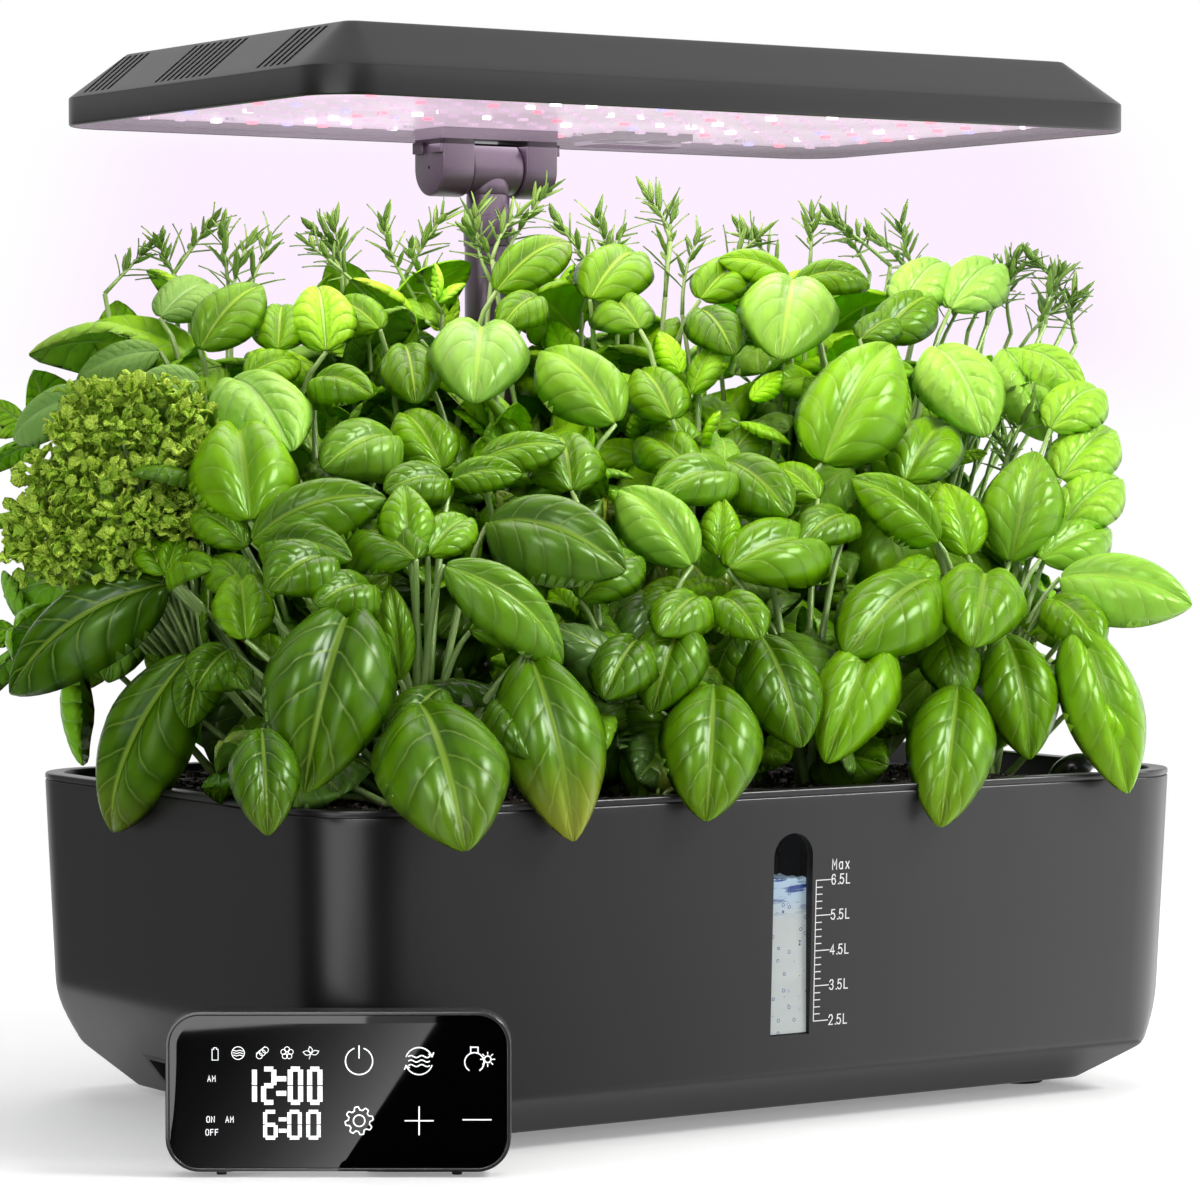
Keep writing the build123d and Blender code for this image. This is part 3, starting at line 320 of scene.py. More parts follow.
def cut_away(piece, cutter, sharp):
    """Cuts the cutter's volume out of the piece and throws the cutter away."""
    tool = bpy.data.objects.new("cutter", cutter.mesh("cutter", None))
    bpy.context.scene.collection.objects.link(tool)
    modifier = piece.modifiers.new("cut", "BOOLEAN")
    modifier.operation = "DIFFERENCE"
    modifier.solver = "EXACT"
    modifier.use_self = True
    modifier.object = tool
    mesh = bpy.data.meshes.new_from_object(piece.evaluated_get(bpy.context.evaluated_depsgraph_get()))
    piece.modifiers.clear()
    if len(mesh.polygons) == 0:
        raise RuntimeError(f"cutting {piece.name} left nothing")
    piece.data = mesh
    mesh.shade_smooth()
    mesh.set_sharp_from_angle(angle=math.radians(sharp))
    bpy.data.objects.remove(tool)


def dress(**finishes):
    """Gives carried-over nodes their finishes."""
    for node, finish in finishes.items():
        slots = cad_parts[node].data.materials
        slots.clear()
        slots.append(finish_of(finish))


# ---------- node wiring
def rgba(colour):
    return (*tuple(colour)[:3], 1.0)


class Wiring:
    """A node tree with a short call for each kind of node; most calls return the node's output."""

    def __init__(self, tree):
        self.tree = tree

    def set(self, node, **inputs):
        """Sets or links a node's inputs by name, with spaces as underscores, or by place as i0, i1."""
        for key, value in inputs.items():
            socket = node.inputs[int(key[1:]) if key[1:].isdigit() else key.replace("_", " ")]
            if isinstance(value, bpy.types.NodeSocket):
                self.tree.links.new(value, socket)
            else:
                socket.default_value = value
        return node

    def node(self, kind, settings=None, **inputs):
        node = self.tree.nodes.new(f"ShaderNode{kind}")
        for key, value in (settings or {}).items():
            setattr(node, key, value)
        return self.set(node, **inputs)

    def calc(self, operation, *values, clamp=False):
        inputs = {f"i{place}": value for place, value in enumerate(values)}
        return self.node("Math", {"operation": operation, "use_clamp": clamp}, **inputs).outputs[0]

    add = partialmethod(calc, "ADD")
    sub = partialmethod(calc, "SUBTRACT")
    mul = partialmethod(calc, "MULTIPLY")
    mul_add = partialmethod(calc, "MULTIPLY_ADD")
    power = partialmethod(calc, "POWER")
    size = partialmethod(calc, "ABSOLUTE")

    def step(self, value, low, high):
        """0 below low, 1 above high, smooth between."""
        settings = {"interpolation_type": "SMOOTHSTEP"}
        return self.node("MapRange", settings, Value=value, From_Min=low, From_Max=high).outputs[0]

    def blend(self, factor, first, second):
        """Mixes two colours."""
        first, second = (c if isinstance(c, bpy.types.NodeSocket) else rgba(c) for c in (first, second))
        return self.node("Mix", {"data_type": "RGBA"}, i0=factor, i6=first, i7=second).outputs[2]

    def noise(self, vector, scale, detail=2.0, roughness=0.5):
        inputs = {"Scale": scale, "Detail": detail, "Roughness": roughness}
        return self.node("TexNoise", Vector=vector, **inputs).outputs["Fac"]

    def cells(self, vector, scale, settings=None, **inputs):
        return self.node("TexVoronoi", settings, Vector=vector, Scale=scale, **inputs).outputs

    def stretch(self, vector, amounts):
        return self.node("VectorMath", {"operation": "MULTIPLY"}, i0=vector, i1=amounts).outputs[0]

    def red(self, colour):
        return self.node("SeparateColor", Color=colour).outputs["Red"]

    def bump(self, height, depth):
        return self.node("Bump", Height=height, Distance=depth).outputs[0]

    def place(self):
        return self.node("TexCoord").outputs["Object"]

    def tone(self):
        return self.node("Attribute", {"attribute_name": "tone"}).outputs["Color"]

    def seen(self):
        """1 for the rays that show a background: the camera's, and those of gloss and clear stuff."""
        path = self.node("LightPath").outputs
        rays = self.add(path["Is Camera Ray"], path["Is Glossy Ray"], clamp=True)
        return self.add(rays, path["Is Transmission Ray"], clamp=True)


def group_of(name, inputs, outputs):
    """New node group: its wiring, the sockets it is given and its output node."""
    tree = bpy.data.node_groups.new(name, "ShaderNodeTree")
    for label, value in inputs.items():
        kind = "Vector" if value is None else "Float" if isinstance(value, float) else "Color"
        socket = tree.interface.new_socket(label, in_out="INPUT", socket_type=f"NodeSocket{kind}")
        if value is not None:
            socket.default_value = rgba(value) if kind == "Color" else value
    for label in outputs:
        kind = "Color" if label == "Colour" else "Float"
        tree.interface.new_socket(label, in_out="OUTPUT", socket_type=f"NodeSocket{kind}")
    return Wiring(tree), tree.nodes.new("NodeGroupInput").outputs, tree.nodes.new("NodeGroupOutput")


@cache
def grain_group():
    """Moulded surface: a broad drift of shade and gloss, and a fine spark-eroded grain.

    Shade = 1 + Drift (noise - 0.5); roughness likewise; height = fine noise.
    """
    inputs = {"Vector": None, "Colour": (0.5, 0.5, 0.5), "Drift": 0.15, "Roughness": 0.4}
    inputs |= {"Roughness Drift": 0.1, "Grain Scale": 1500.0}
    w, given, out = group_of("moulded grain", inputs, ("Colour", "Roughness", "Height"))
    place = given["Vector"]
    shade = w.mul_add(w.sub(w.noise(place, 14.0, 4.0, 0.6), 0.5), given["Drift"], 1.0)
    tinted = w.node("VectorMath", {"operation": "SCALE"}, i0=given["Colour"], Scale=shade)
    smear = w.sub(w.noise(place, 55.0, 3.0, 0.7), 0.5)
    gloss = w.mul_add(smear, given["Roughness Drift"], given["Roughness"], clamp=True)
    height = w.noise(place, given["Grain Scale"], 2.0, 0.6)
    w.set(out, Colour=tinted.outputs[0], Roughness=gloss, Height=height)
    return w.tree


@cache
def leaf_group():
    """Leaf blade on its own UV, u along the blade and v across it, 0.5 on the midrib.

    Side veins run where N (u - 0.3 |s| ^ 0.8) is whole, with s = 2 v - 1, and the blade swells between
    them; a cell pattern wrinkles each swelling. Both the midrib and the side veins are paler grooves.
    """
    inputs = {"UV": None, "Tone": (0.5, 0.5, 0.5), "Deep": (0.03, 0.12, 0.01), "Bright": (0.2, 0.45, 0.04)}
    inputs |= {"Vein": (0.4, 0.6, 0.15), "Veins": 8.0, "Wrinkle": 0.3, "Roughness": 0.35}
    w, given, out = group_of("leaf blade", inputs, ("Colour", "Roughness", "Height"))
    split = w.node("SeparateXYZ", Vector=given["UV"]).outputs
    tone = w.node("SeparateColor", Color=given["Tone"]).outputs
    side = w.size(w.mul_add(split["Y"], 2.0, -1.0))
    phase = w.sub(split["X"], w.mul(w.power(side, 0.8), 0.3))
    phase = w.mul(w.mul_add(w.noise(given["UV"], 5.0, 2.0), 0.06, phase), given["Veins"])
    nearest = w.size(w.sub(w.calc("FRACT", w.add(phase, 4.0)), 0.5))
    swelling = w.sub(1.0, w.power(w.mul(nearest, 2.0), 2.5))
    midrib = w.sub(1.0, w.step(side, 0.02, 0.08))
    fade = w.sub(1.0, w.step(side, 0.55, 1.0))
    side_vein = w.mul(w.step(nearest, 0.42, 0.5), fade)
    vein = w.calc("MAXIMUM", midrib, w.mul(side_vein, 0.6))
    stretched = w.stretch(given["UV"], (3.4, 2.0, 1.0))
    cells = w.cells(stretched, 7.0, {"feature": "SMOOTH_F1"}, Smoothness=0.6)
    wrinkle = w.sub(0.6, cells["Distance"])
    swelling = w.mul(swelling, w.step(side, 0.0, 0.25))
    height = w.mul_add(wrinkle, given["Wrinkle"], swelling)
    height = w.sub(height, w.mul(midrib, 0.8))
    drift = w.sub(w.noise(given["UV"], 3.0, 3.0), 0.5)
    # the tone's red, which holds painted light and shade, sets the mix from Deep to Bright
    mix = w.power(w.mul_add(drift, 0.4, tone["Red"], clamp=True), 2.0)
    # painted light: the swellings between the veins a little lighter than the hollows
    mix = w.mul_add(w.sub(swelling, 0.6), 0.12, mix, clamp=True)
    blade = w.blend(mix, given["Deep"], given["Bright"])
    yellow = w.mul(tone["Green"], w.step(split["X"], 0.55, 1.0))
    blade = w.blend(yellow, blade, (0.42, 0.42, 0.05))
    blade = w.blend(w.mul(tone["Blue"], 0.6), blade, (0.36, 0.6, 0.2))
    colour = w.blend(w.mul(vein, 0.4), blade, given["Vein"])
    gloss = w.mul_add(drift, 0.15, given["Roughness"], clamp=True)
    w.set(out, Colour=colour, Roughness=w.mul_add(vein, 0.12, gloss), Height=height)
    return w.tree


@cache
def crumb_group():
    """Loose soil: crumbs of three sizes by cell distance, with painted shade in the gaps between them, and
    stray pale grains.
    """
    inputs = {"Vector": None, "Dark": (0.01, 0.006, 0.004), "Light": (0.06, 0.035, 0.025)}
    w, given, out = group_of("soil crumbs", inputs, ("Colour", "Height"))
    place = given["Vector"]
    fine = w.cells(place, 900.0)
    high = w.sub(1.0, w.cells(place, 260.0)["Distance"])
    high = w.mul_add(fine["Distance"], -0.4, high)
    # painted shade: the crumbs darker towards their edges, where they meet
    shade = w.mul(high, w.add(w.noise(place, 40.0, 3.0), 0.3), clamp=True)
    colour = w.blend(shade, given["Dark"], given["Light"])
    colour = w.blend(w.step(w.red(fine["Color"]), 0.965, 0.975), colour, (0.5, 0.45, 0.38))
    w.set(out, Colour=colour, Height=high)
    return w.tree


# ---------- materials
def new_material(name):
    """Material with a Principled shader; returns the material, its wiring and the shader."""
    material = bpy.data.materials.new(name)
    material.use_nodes = True
    w = Wiring(material.node_tree)
    w.tree.nodes.clear()
    shader = w.node("BsdfPrincipled")
    w.node("OutputMaterial", i0=shader.outputs[0])
    return material, w, shader


def moulded(name, colour, roughness=0.4, drift=0.2, gloss_drift=0.12, grain=1800.0, depth=0.00002, **plain):
    """Moulded plastic, rubber, metal or paint: the grain group with plain shader values beside it."""
    material, w, shader = new_material(name)
    looks = {"Colour": rgba(colour), "Drift": drift, "Roughness": roughness}
    looks |= {"Roughness_Drift": gloss_drift, "Grain_Scale": grain}
    grain_node = w.node("Group", {"node_tree": grain_group()}, Vector=w.place(), **looks).outputs
    normal = w.bump(grain_node["Height"], depth)
    w.set(shader, Base_Color=grain_node["Colour"], Roughness=grain_node["Roughness"], Normal=normal, **plain)
    return material


def worked(material):
    """A material's wiring and its shader."""
    w = Wiring(material.node_tree)
    return w, next(node for node in w.tree.nodes if node.type == "BSDF_PRINCIPLED")


def glowing(name, colour, glow, strength, roughness=0.3, scale=120.0):
    """Lit face: a moulded face whose glow is a little uneven from place to place."""
    material = moulded(name, colour, roughness)
    w, shader = worked(material)
    uneven = w.step(w.noise(w.place(), scale, 1.0), 0.35, 0.65)
    tint = w.blend(uneven, tuple(0.6 * part for part in glow), glow)
    w.set(shader, Emission_Color=tint, Emission_Strength=strength)
    return material


def light_chips(name, glow, strength, part, share):
    """Light chips of which about a share is lit, chosen by cells on object coordinates."""
    # the unlit chips show the board's lilac colour and glow, which is painted pink light
    board = (0.62, 0.45, 0.6)
    material = glowing(name, board, board, 1.0)
    w, shader = worked(material)
    pick = w.red(w.cells(w.place(), 70.0, {"voronoi_dimensions": "2D"})["Color"])
    lit = w.step(pick, 1.0 - share, 1.06 - share)
    strength = w.mul_add(lit, strength * part, 0.75)
    w.set(shader, Emission_Color=w.blend(lit, board, glow), Emission_Strength=strength)
    return material


def lens_material(name):
    """Clear lens that carries a faint lilac glow."""
    material = glowing(name, (0.2, 0.15, 0.2), (0.66, 0.5, 0.66), 0.85, 0.15, 9.0)
    w, shader = worked(material)
    w.set(shader, Alpha=0.22, Specular_IOR_Level=0.02)
    return material


def reflector_material(name):
    """Card whose glow comes from its own corner values."""
    material, w, shader = new_material(name)
    w.set(shader, Emission_Color=w.tone(), Emission_Strength=1.0)
    w.set(shader, Base_Color=(0, 0, 0, 1), Specular_IOR_Level=0.0)
    return material


def leaf_material(name, deep, bright, vein, veins=6.0, wrinkle=0.2, roughness=0.27, depth=0.0003, soft=0.03):
    """Leaf blade: the leaf group on the blade's UV, with a little light carried through the blade."""
    material, w, shader = new_material(name)
    looks = {"Deep": rgba(deep), "Bright": rgba(bright), "Vein": rgba(vein), "Veins": veins}
    looks |= {"UV": w.node("TexCoord").outputs["UV"], "Tone": w.tone()}
    looks |= {"Wrinkle": wrinkle, "Roughness": roughness}
    blade = w.node("Group", {"node_tree": leaf_group()}, **looks).outputs
    normal = w.bump(blade["Height"], depth)
    w.set(shader, Base_Color=blade["Colour"], Roughness=blade["Roughness"], Normal=normal)
    w.set(shader, Specular_IOR_Level=0.12, Subsurface_Weight=soft)
    w.set(shader, Subsurface_Radius=(0.5, 1.0, 0.15), Subsurface_Scale=0.002)
    return material


def soil_material(name):
    """Dark soil: the crumb group on object coordinates."""
    material, w, shader = new_material(name)
    crumbs = w.node("Group", {"node_tree": crumb_group()}, Vector=w.place()).outputs
    normal = w.bump(crumbs["Height"], 0.0025)
    w.set(shader, Base_Color=crumbs["Colour"], Normal=normal, Roughness=0.85)
    return material


def water_material(name):
    """Water behind the window: deep blue waves in its top band, pale below, with small ring bubbles."""
    material, w, shader = new_material(name)
    place = w.place()
    height = w.node("SeparateXYZ", Vector=place).outputs["Z"]
    depth = w.sub(float((RIM - WATER_DROP) * MM + CENTRE[2]), height)
    stretched = w.stretch(place, (0.35, 0.0, 2.6))
    waves = w.noise(stretched, 150.0, 3.0, 0.6)
    band = w.sub(1.0, w.step(depth, 0.003, 0.016))
    ripple = w.mul(w.step(waves, 0.52, 0.6), band)
    cells = w.cells(w.stretch(place, (1.0, 0.0, 1.0)), 420.0)
    ring = w.size(w.sub(cells["Distance"], 0.24))
    ring = w.sub(1.0, w.step(ring, 0.02, 0.08))
    pick = w.mul_add(w.noise(place, 60.0), 0.8, w.red(cells["Color"]))
    bubble = w.mul(ring, w.step(pick, 1.05, 1.15))
    colour = w.blend(w.noise(stretched, 60.0, 3.0), (0.4, 0.44, 0.43), (0.5, 0.54, 0.53))
    colour = w.blend(band, colour, (0.36, 0.5, 0.62))
    colour = w.blend(ripple, colour, (0.01, 0.04, 0.22))
    colour = w.blend(bubble, colour, (0.03, 0.08, 0.25))
    # painted light: the water's colour also glows a little, as if lit from inside the tank
    w.set(shader, Base_Color=colour, Emission_Color=colour, Emission_Strength=0.35)
    w.set(shader, Roughness=w.mul_add(waves, 0.2, 0.05))
    return material


@cache
def finish_of(name):
    """The material of that name, made when it is first asked for."""
    maker, *values = FINISHES[name]
    plain = values.pop() if values and isinstance(values[-1], dict) else {}
    finish = bpy.context.scene.garden_finish
    return maker(name, *(getattr(finish, v) if isinstance(v, str) else v for v in values), **plain)


DULL = {"Specular_IOR_Level": 0.3}
PANE = {"Specular_IOR_Level": 0.5}
CLEAR = {"Alpha": 0.12, "Specular_IOR_Level": 0.1}
# Each row: what makes it, then its values in order; a word is a setting of the panel.
FINISHES = {
    "tank plastic": (moulded, "body", 0.34, 0.3, 0.05, 2600.0, 0.00001, DULL),
    "lid plastic": (moulded, "body", 0.32, 0.3, 0.06, 2600.0, 0.00001, DULL),
    "lamp plastic": (moulded, "body", 0.34, 0.3, 0.05, 2600.0, 0.00001, DULL),
    "mast plastic": (moulded, "mast", 0.34, 0.25),
    "mast tube": (moulded, "mast", 0.3, 0.2),
    "black rubber": (moulded, (0.012, 0.012, 0.012), 0.75, 0.4, 0.1, 900.0, 0.00006),
    "seal rubber": (moulded, (0.03, 0.028, 0.03), 0.6, 0.3),
    "cap plastic": (moulded, (0.006, 0.006, 0.007), 0.18, 0.3),
    "pump plastic": (moulded, (0.015, 0.015, 0.017), 0.45, 0.3),
    "impeller plastic": (moulded, (0.6, 0.6, 0.58), 0.4, 0.1),
    "magnet coating": (moulded, (0.08, 0.06, 0.05), 0.35, 0.3),
    "basket plastic": (moulded, (0.02, 0.02, 0.02), 0.4, 0.3),
    "sponge": (moulded, (0.05, 0.035, 0.025), 0.95, 0.8, 0.05, 420.0, 0.0012),
    "bright steel": (moulded, (0.55, 0.55, 0.56), 0.28, 0.2, 0.2, 900.0, 0.00001, {"Metallic": 1.0}),
    "nylon": (moulded, (0.55, 0.55, 0.52), 0.5, 0.1),
    "inlet plastic": (moulded, (0.006, 0.006, 0.006), 0.5, 0.3),
    "reflector": (reflector_material,),
    # painted light: the board's lilac colour and glow stand for the chips' pink light on white enamel
    "white enamel": (glowing, "board", (0.62, 0.45, 0.6), 0.75, 0.35, 14.0),
    "fan plastic": (moulded, (0.012, 0.012, 0.014), 0.4, 0.3),
    "circuit board": (moulded, (0.01, 0.07, 0.03), 0.4, 0.5, 0.2, 240.0, 0.0001),
    "component": (moulded, (0.03, 0.03, 0.035), 0.5, 0.5, 0.2, 160.0, 0.0001),
    "console plastic": (moulded, (0.006, 0.006, 0.007), 0.4, 0.3),
    "console face": (moulded, (0.001, 0.001, 0.0012), 0.03, 0.3, 0.01, 60.0, 0.0, PANE),
    "console frame": (moulded, (0.03, 0.03, 0.032), 0.25, 0.3),
    "battery foil": (moulded, (0.5, 0.5, 0.52), 0.3, 0.2, 0.2, 200.0, 0.0002, {"Metallic": 0.9}),
    "window clear": (moulded, (0.02, 0.022, 0.025), 0.06, 0.05, 0.03, 90.0, 0.0, CLEAR),
    "water": (water_material,),
    "lens clear": (lens_material,),
    "print": (moulded, "print", 0.5, 0.08),
    "sign": (glowing, (0.8, 0.8, 0.8), "sign", 1.0),
    "white light": (light_chips, "white_light", "light_strength", 1.0, 0.32),
    "red light": (light_chips, "red_light", "light_strength", 0.2, 0.45),
    "blue light": (light_chips, "blue_light", "light_strength", 0.2, 0.45),
    "soil": (soil_material,),
    "perlite": (moulded, (0.65, 0.6, 0.52), 0.9, 0.5, 0.1, 700.0, 0.0005),
    "basil": (leaf_material, "leaf_deep", "leaf_bright", "leaf_vein"),
    "salad": (leaf_material, (0.16, 0.45, 0.006), (0.5, 0.92, 0.03), (0.6, 0.8, 0.3), 6.0, 0.5, 0.33, 0.0007),
    "parsley": (leaf_material, (0.32, 0.62, 0.02), (0.72, 0.98, 0.1), (0.6, 0.85, 0.15), 5.0, 0.3, 0.45),
    "sage": (leaf_material, (0.12, 0.3, 0.03), (0.34, 0.58, 0.1), (0.5, 0.68, 0.3), 9.0, 0.8, 0.55),
    "rosemary": (
        *(leaf_material, (0.07, 0.17, 0.02), (0.3, 0.5, 0.09), (0.4, 0.55, 0.18)),
        *(1.0, 0.1, 0.45, 0.0002),
    ),
    "stem": (moulded, "stem", 0.45, 0.5, 0.1, 350.0, 0.0001),
}


# ---------- tank
def soft_least(first, second, softness):
    """Smooth minimum of two arrays: -s log(exp(-a / s) + exp(-b / s)), level with the smaller one."""
    low = np.minimum(first, second)
    return low - softness * np.log(np.exp(-(first - low) / softness) + np.exp(-(second - low) / softness))


def tank_ring(height, inset):
    """The tank's outline at a height: a leaning rounded rectangle, held inside the four chamfers.

    Side wall: half = rim half - lean (top - z). Chamfer: a straight line in z from the crease to the
    foot of the wall. The soft least of the two rounds the crease.
    """
    drop = SHELL_TOP - height
    lean = WALL_LEAN * drop
    outline = rounded_ring(RIM_LENGTH / 2 - lean, RIM_DEPTH / 2 - lean, RIM_CORNER, 14, 26)

    def chamfer(half, crease_drop, foot_inset):
        crease = RIM - crease_drop
        share = (height - UNDERSIDE) / (crease - UNDERSIDE)
        wall = half - WALL_LEAN * (RIM - crease)
        foot = half - foot_inset
        return foot + (wall - foot) * share

    limit_x = chamfer(RIM_LENGTH / 2, END_CREASE_DROP, END_FOOT_INSET)
    limit_y = chamfer(RIM_DEPTH / 2, SIDE_CREASE_DROP, SIDE_FOOT_INSET)
    size = np.abs(outline)
    limits = np.array([limit_x, limit_y])
    held = soft_least(size, np.broadcast_to(limits, size.shape), CREASE_SOFTNESS)
    held = np.where(size < 4 * CREASE_SOFTNESS, np.minimum(size, held + 10), held)
    held = np.where(limits - size > 8 * CREASE_SOFTNESS, size, held)
    return np.sign(outline) * np.maximum(held - inset, 0)


def tank_surface():
    """The tank as one skin: up the outside, over the top edge, down the inside, across the floor."""
    side, end = RIM - SIDE_CREASE_DROP, RIM - END_CREASE_DROP
    floor = UNDERSIDE + TANK_FLOOR
    outside = [UNDERSIDE + 0.4, *np.linspace(UNDERSIDE + 1.2, side - 3, 5)]
    outside += [*(side + np.linspace(-2.5, 2.5, 8))]
    outside += [*np.linspace(side + 5, end - 3, 5), *(end + np.linspace(-2.5, 2.5, 8))]
    outside += [*np.linspace(end + 6, SHELL_TOP - 3, 10)]
    # each row: the height whose outline is taken, how far inside it, and the height it is set at
    rows = [(UNDERSIDE + 0.05, 6.0, UNDERSIDE), (UNDERSIDE + 0.05, 0.8, UNDERSIDE)]
    rows += [(height, 0.0, height) for height in outside]
    edge = ((0.02, 0.5), (0.15, 0.15), (0.5, 0), (TANK_WALL - 0.3, 0), (TANK_WALL, 0.4))
    rows += [(SHELL_TOP, inset, SHELL_TOP - drop) for inset, drop in edge]
    rows += [(height, TANK_WALL, height) for height in np.linspace(SHELL_TOP - 4, floor, 14)]
    rows += [(floor, 12.0, floor)]
    return skin([level(tank_ring(height, inset), place) for height, inset, place in rows])


def front_lean(height):
    """Depth of the tank's front wall at a height."""
    return -(RIM_DEPTH / 2 - WALL_LEAN * (SHELL_TOP - height))


def arch_outline(width, low, high, steps=16):
    """Window outline (x, z), anticlockwise seen from the front: square foot and a round head."""
    turn = np.radians(np.linspace(0, 180, steps + 1))
    head = np.stack([width / 2 * np.cos(turn), high - width / 2 + width / 2 * np.sin(turn)], -1)
    return np.concatenate([[[-width / 2, low], [width / 2, low]], head])


def wall_plate(outline, front, back):
    """Rings of an outline (x, z) at two set-offs from the tank's leaning front wall."""
    return [
        np.stack([outline[:, 0], front_lean(outline[:, 1]) + offset, outline[:, 1]], -1)
        for offset in (back, front)
    ]


# printed letters: strokes on a grid two wide and four high, as lists of polylines
LETTER_STROKES = {
    "M": [[(0, 0), (0, 4), (1, 1.6), (2, 4), (2, 0)]],
    "A": [[(0, 0), (1, 4), (2, 0)], [(0.4, 1.4), (1.6, 1.4)]],
    "L": [[(0.1, 4), (0.1, 0), (1.8, 0)]],
    "O": [[(0.5, 0), (1.5, 0), (2, 0.7), (2, 3.3), (1.5, 4), (0.5, 4), (0, 3.3), (0, 0.7), (0.5, 0)]],
    "N": [[(0, 0), (0, 4), (2, 0), (2, 4)]],
    "F": [[(0, 0), (0, 4), (1.8, 4)], [(0, 2.1), (1.5, 2.1)]],
    "a": [
        [(1.7, 2.8), (1.7, 0)],
        [(1.7, 2.2), (1.2, 2.8), (0.6, 2.8), (0.1, 2), (0.1, 0.8), (0.6, 0), (1.2, 0), (1.7, 0.6)],
    ],
    "x": [[(0.1, 2.8), (1.7, 0)], [(1.7, 2.8), (0.1, 0)]],
    "2": [[(0.1, 3.1), (0.5, 4), (1.5, 4), (1.9, 3.1), (1.8, 2.3), (0.1, 0), (2, 0)]],
    "3": [
        [(0.1, 3.3), (0.6, 4), (1.5, 4), (1.9, 3.2), (1.5, 2.2), (0.9, 2.1)],
        [(1.5, 2.1), (2, 1.2), (1.5, 0), (0.6, 0), (0.05, 0.7)],
    ],
    "4": [[(1.5, 0), (1.5, 4), (0, 1.2), (2.1, 1.2)]],
    "5": [[(1.8, 4), (0.4, 4), (0.2, 2.2), (1, 2.6), (1.7, 2.2), (2, 1.2), (1.5, 0), (0.6, 0), (0.05, 0.7)]],
    "6": [
        [(1.8, 3.3), (1.4, 4), (0.6, 4), (0.1, 3), (0, 1.2), (0.5, 0), (1.5, 0), (2, 1.1), (1.5, 2.3)]
        + [(0.6, 2.3), (0.05, 1.4)]
    ],
    ".": [[(0.8, 0), (1.15, 0)]],
}


def stroke_outline(path, width):
    """Flat ribbon (2 n, 2) along a polyline: each point moved out by width / 2 along its mean normal."""
    path = np.asarray(path, float)
    closed = len(path) > 2 and np.allclose(path[0], path[-1])
    step = np.diff(path, axis=0)
    step /= np.maximum(np.linalg.norm(step, axis=1, keepdims=True), 1e-9)
    before = np.concatenate([step[-1:] if closed else step[:1], step])
    after = np.concatenate([step, step[:1] if closed else step[-1:]])
    middle = before + after
    middle /= np.maximum(np.linalg.norm(middle, axis=1, keepdims=True), 1e-9)
    reach = width / 2 / np.clip((middle * after).sum(1), 0.5, 1)
    normal = np.stack([-middle[:, 1], middle[:, 0]], -1) * reach[:, None]
    ends = np.zeros_like(path)
    if not closed:
        ends[0], ends[-1] = -step[0] * width / 2, step[-1] * width / 2
    return path + ends + normal, path + ends - normal


def add_stroke(surface, path, width, to_space, thickness):
    """Thin closed ribbon: the flat outline laid by to_space((n, 2), lift) at two lifts, with its walls."""
    left, right = stroke_outline(path, width)
    count = len(left)
    flat = np.concatenate([left, right])
    points = np.concatenate([to_space(flat, 0.0), to_space(flat, thickness)])
    here = np.arange(count - 1)
    high = 2 * count
    face = np.stack([here, count + here, count + here + 1, here + 1], -1)
    wall_left = np.stack([here + high, here + 1 + high, here + 1, here], -1)
    wall_right = np.stack([here, here + 1, here + 1 + high, here + high], -1) + count
    ends = np.array([[high, count + high, count, 0], [count - 1, high - 1, 2 * high - 1, high + count - 1]])
    surface.add(points, [face[:, ::-1], face + high, wall_left, wall_right, ends])


def add_word(surface, word, corner, height, stroke, to_space, thickness=0.06):
    """Prints a word: its lower left corner, letter height and stroke width, on to_space's surface."""
    scale = height / 4
    x = corner[0]
    for letter in word:
        for line in LETTER_STROKES.get(letter, []):
            path = np.asarray(line, float) * scale + (x - (0.7 * scale if letter == "." else 0.0), corner[1])
            add_stroke(surface, path, stroke, to_space, thickness)
        x += scale * (0.9 if letter == "." else 3.3)


def on_front_wall(flat, lift):
    """Points (x, z) laid on the tank's front wall, lift proud of it."""
    flat = np.asarray(flat, float)
    return np.stack([flat[:, 0], front_lean(flat[:, 1]) - 0.02 - lift, flat[:, 1]], -1)


def scale_surface():
    """Water scale beside the window: a spine, long marks at the labelled levels, short marks between."""
    surface = Surface()
    spine_x, long_mark, short_mark = 10.1, 6.3, 2.6
    high, low = RIM - 32.9, RIM - 83.3
    add_stroke(surface, [(spine_x, low), (spine_x, high)], 0.34, on_front_wall, 0.05)
    for place, height in enumerate(np.linspace(high, low, 21)):
        reach = long_mark if place % 5 == 0 else short_mark
        add_stroke(surface, [(spine_x, height), (spine_x + reach, height)], 0.34, on_front_wall, 0.05)
        if place % 5 == 0:
            label = ("6.5L", "5.5L", "4.5L", "3.5L", "2.5L")[place // 5]
            add_word(surface, label, (spine_x + long_mark + 0.5, height - 1.7), 3.4, 0.4, on_front_wall)
    add_word(surface, "Max", (spine_x + long_mark + 0.7, high + 3.6), 3.5, 0.4, on_front_wall)
    return surface


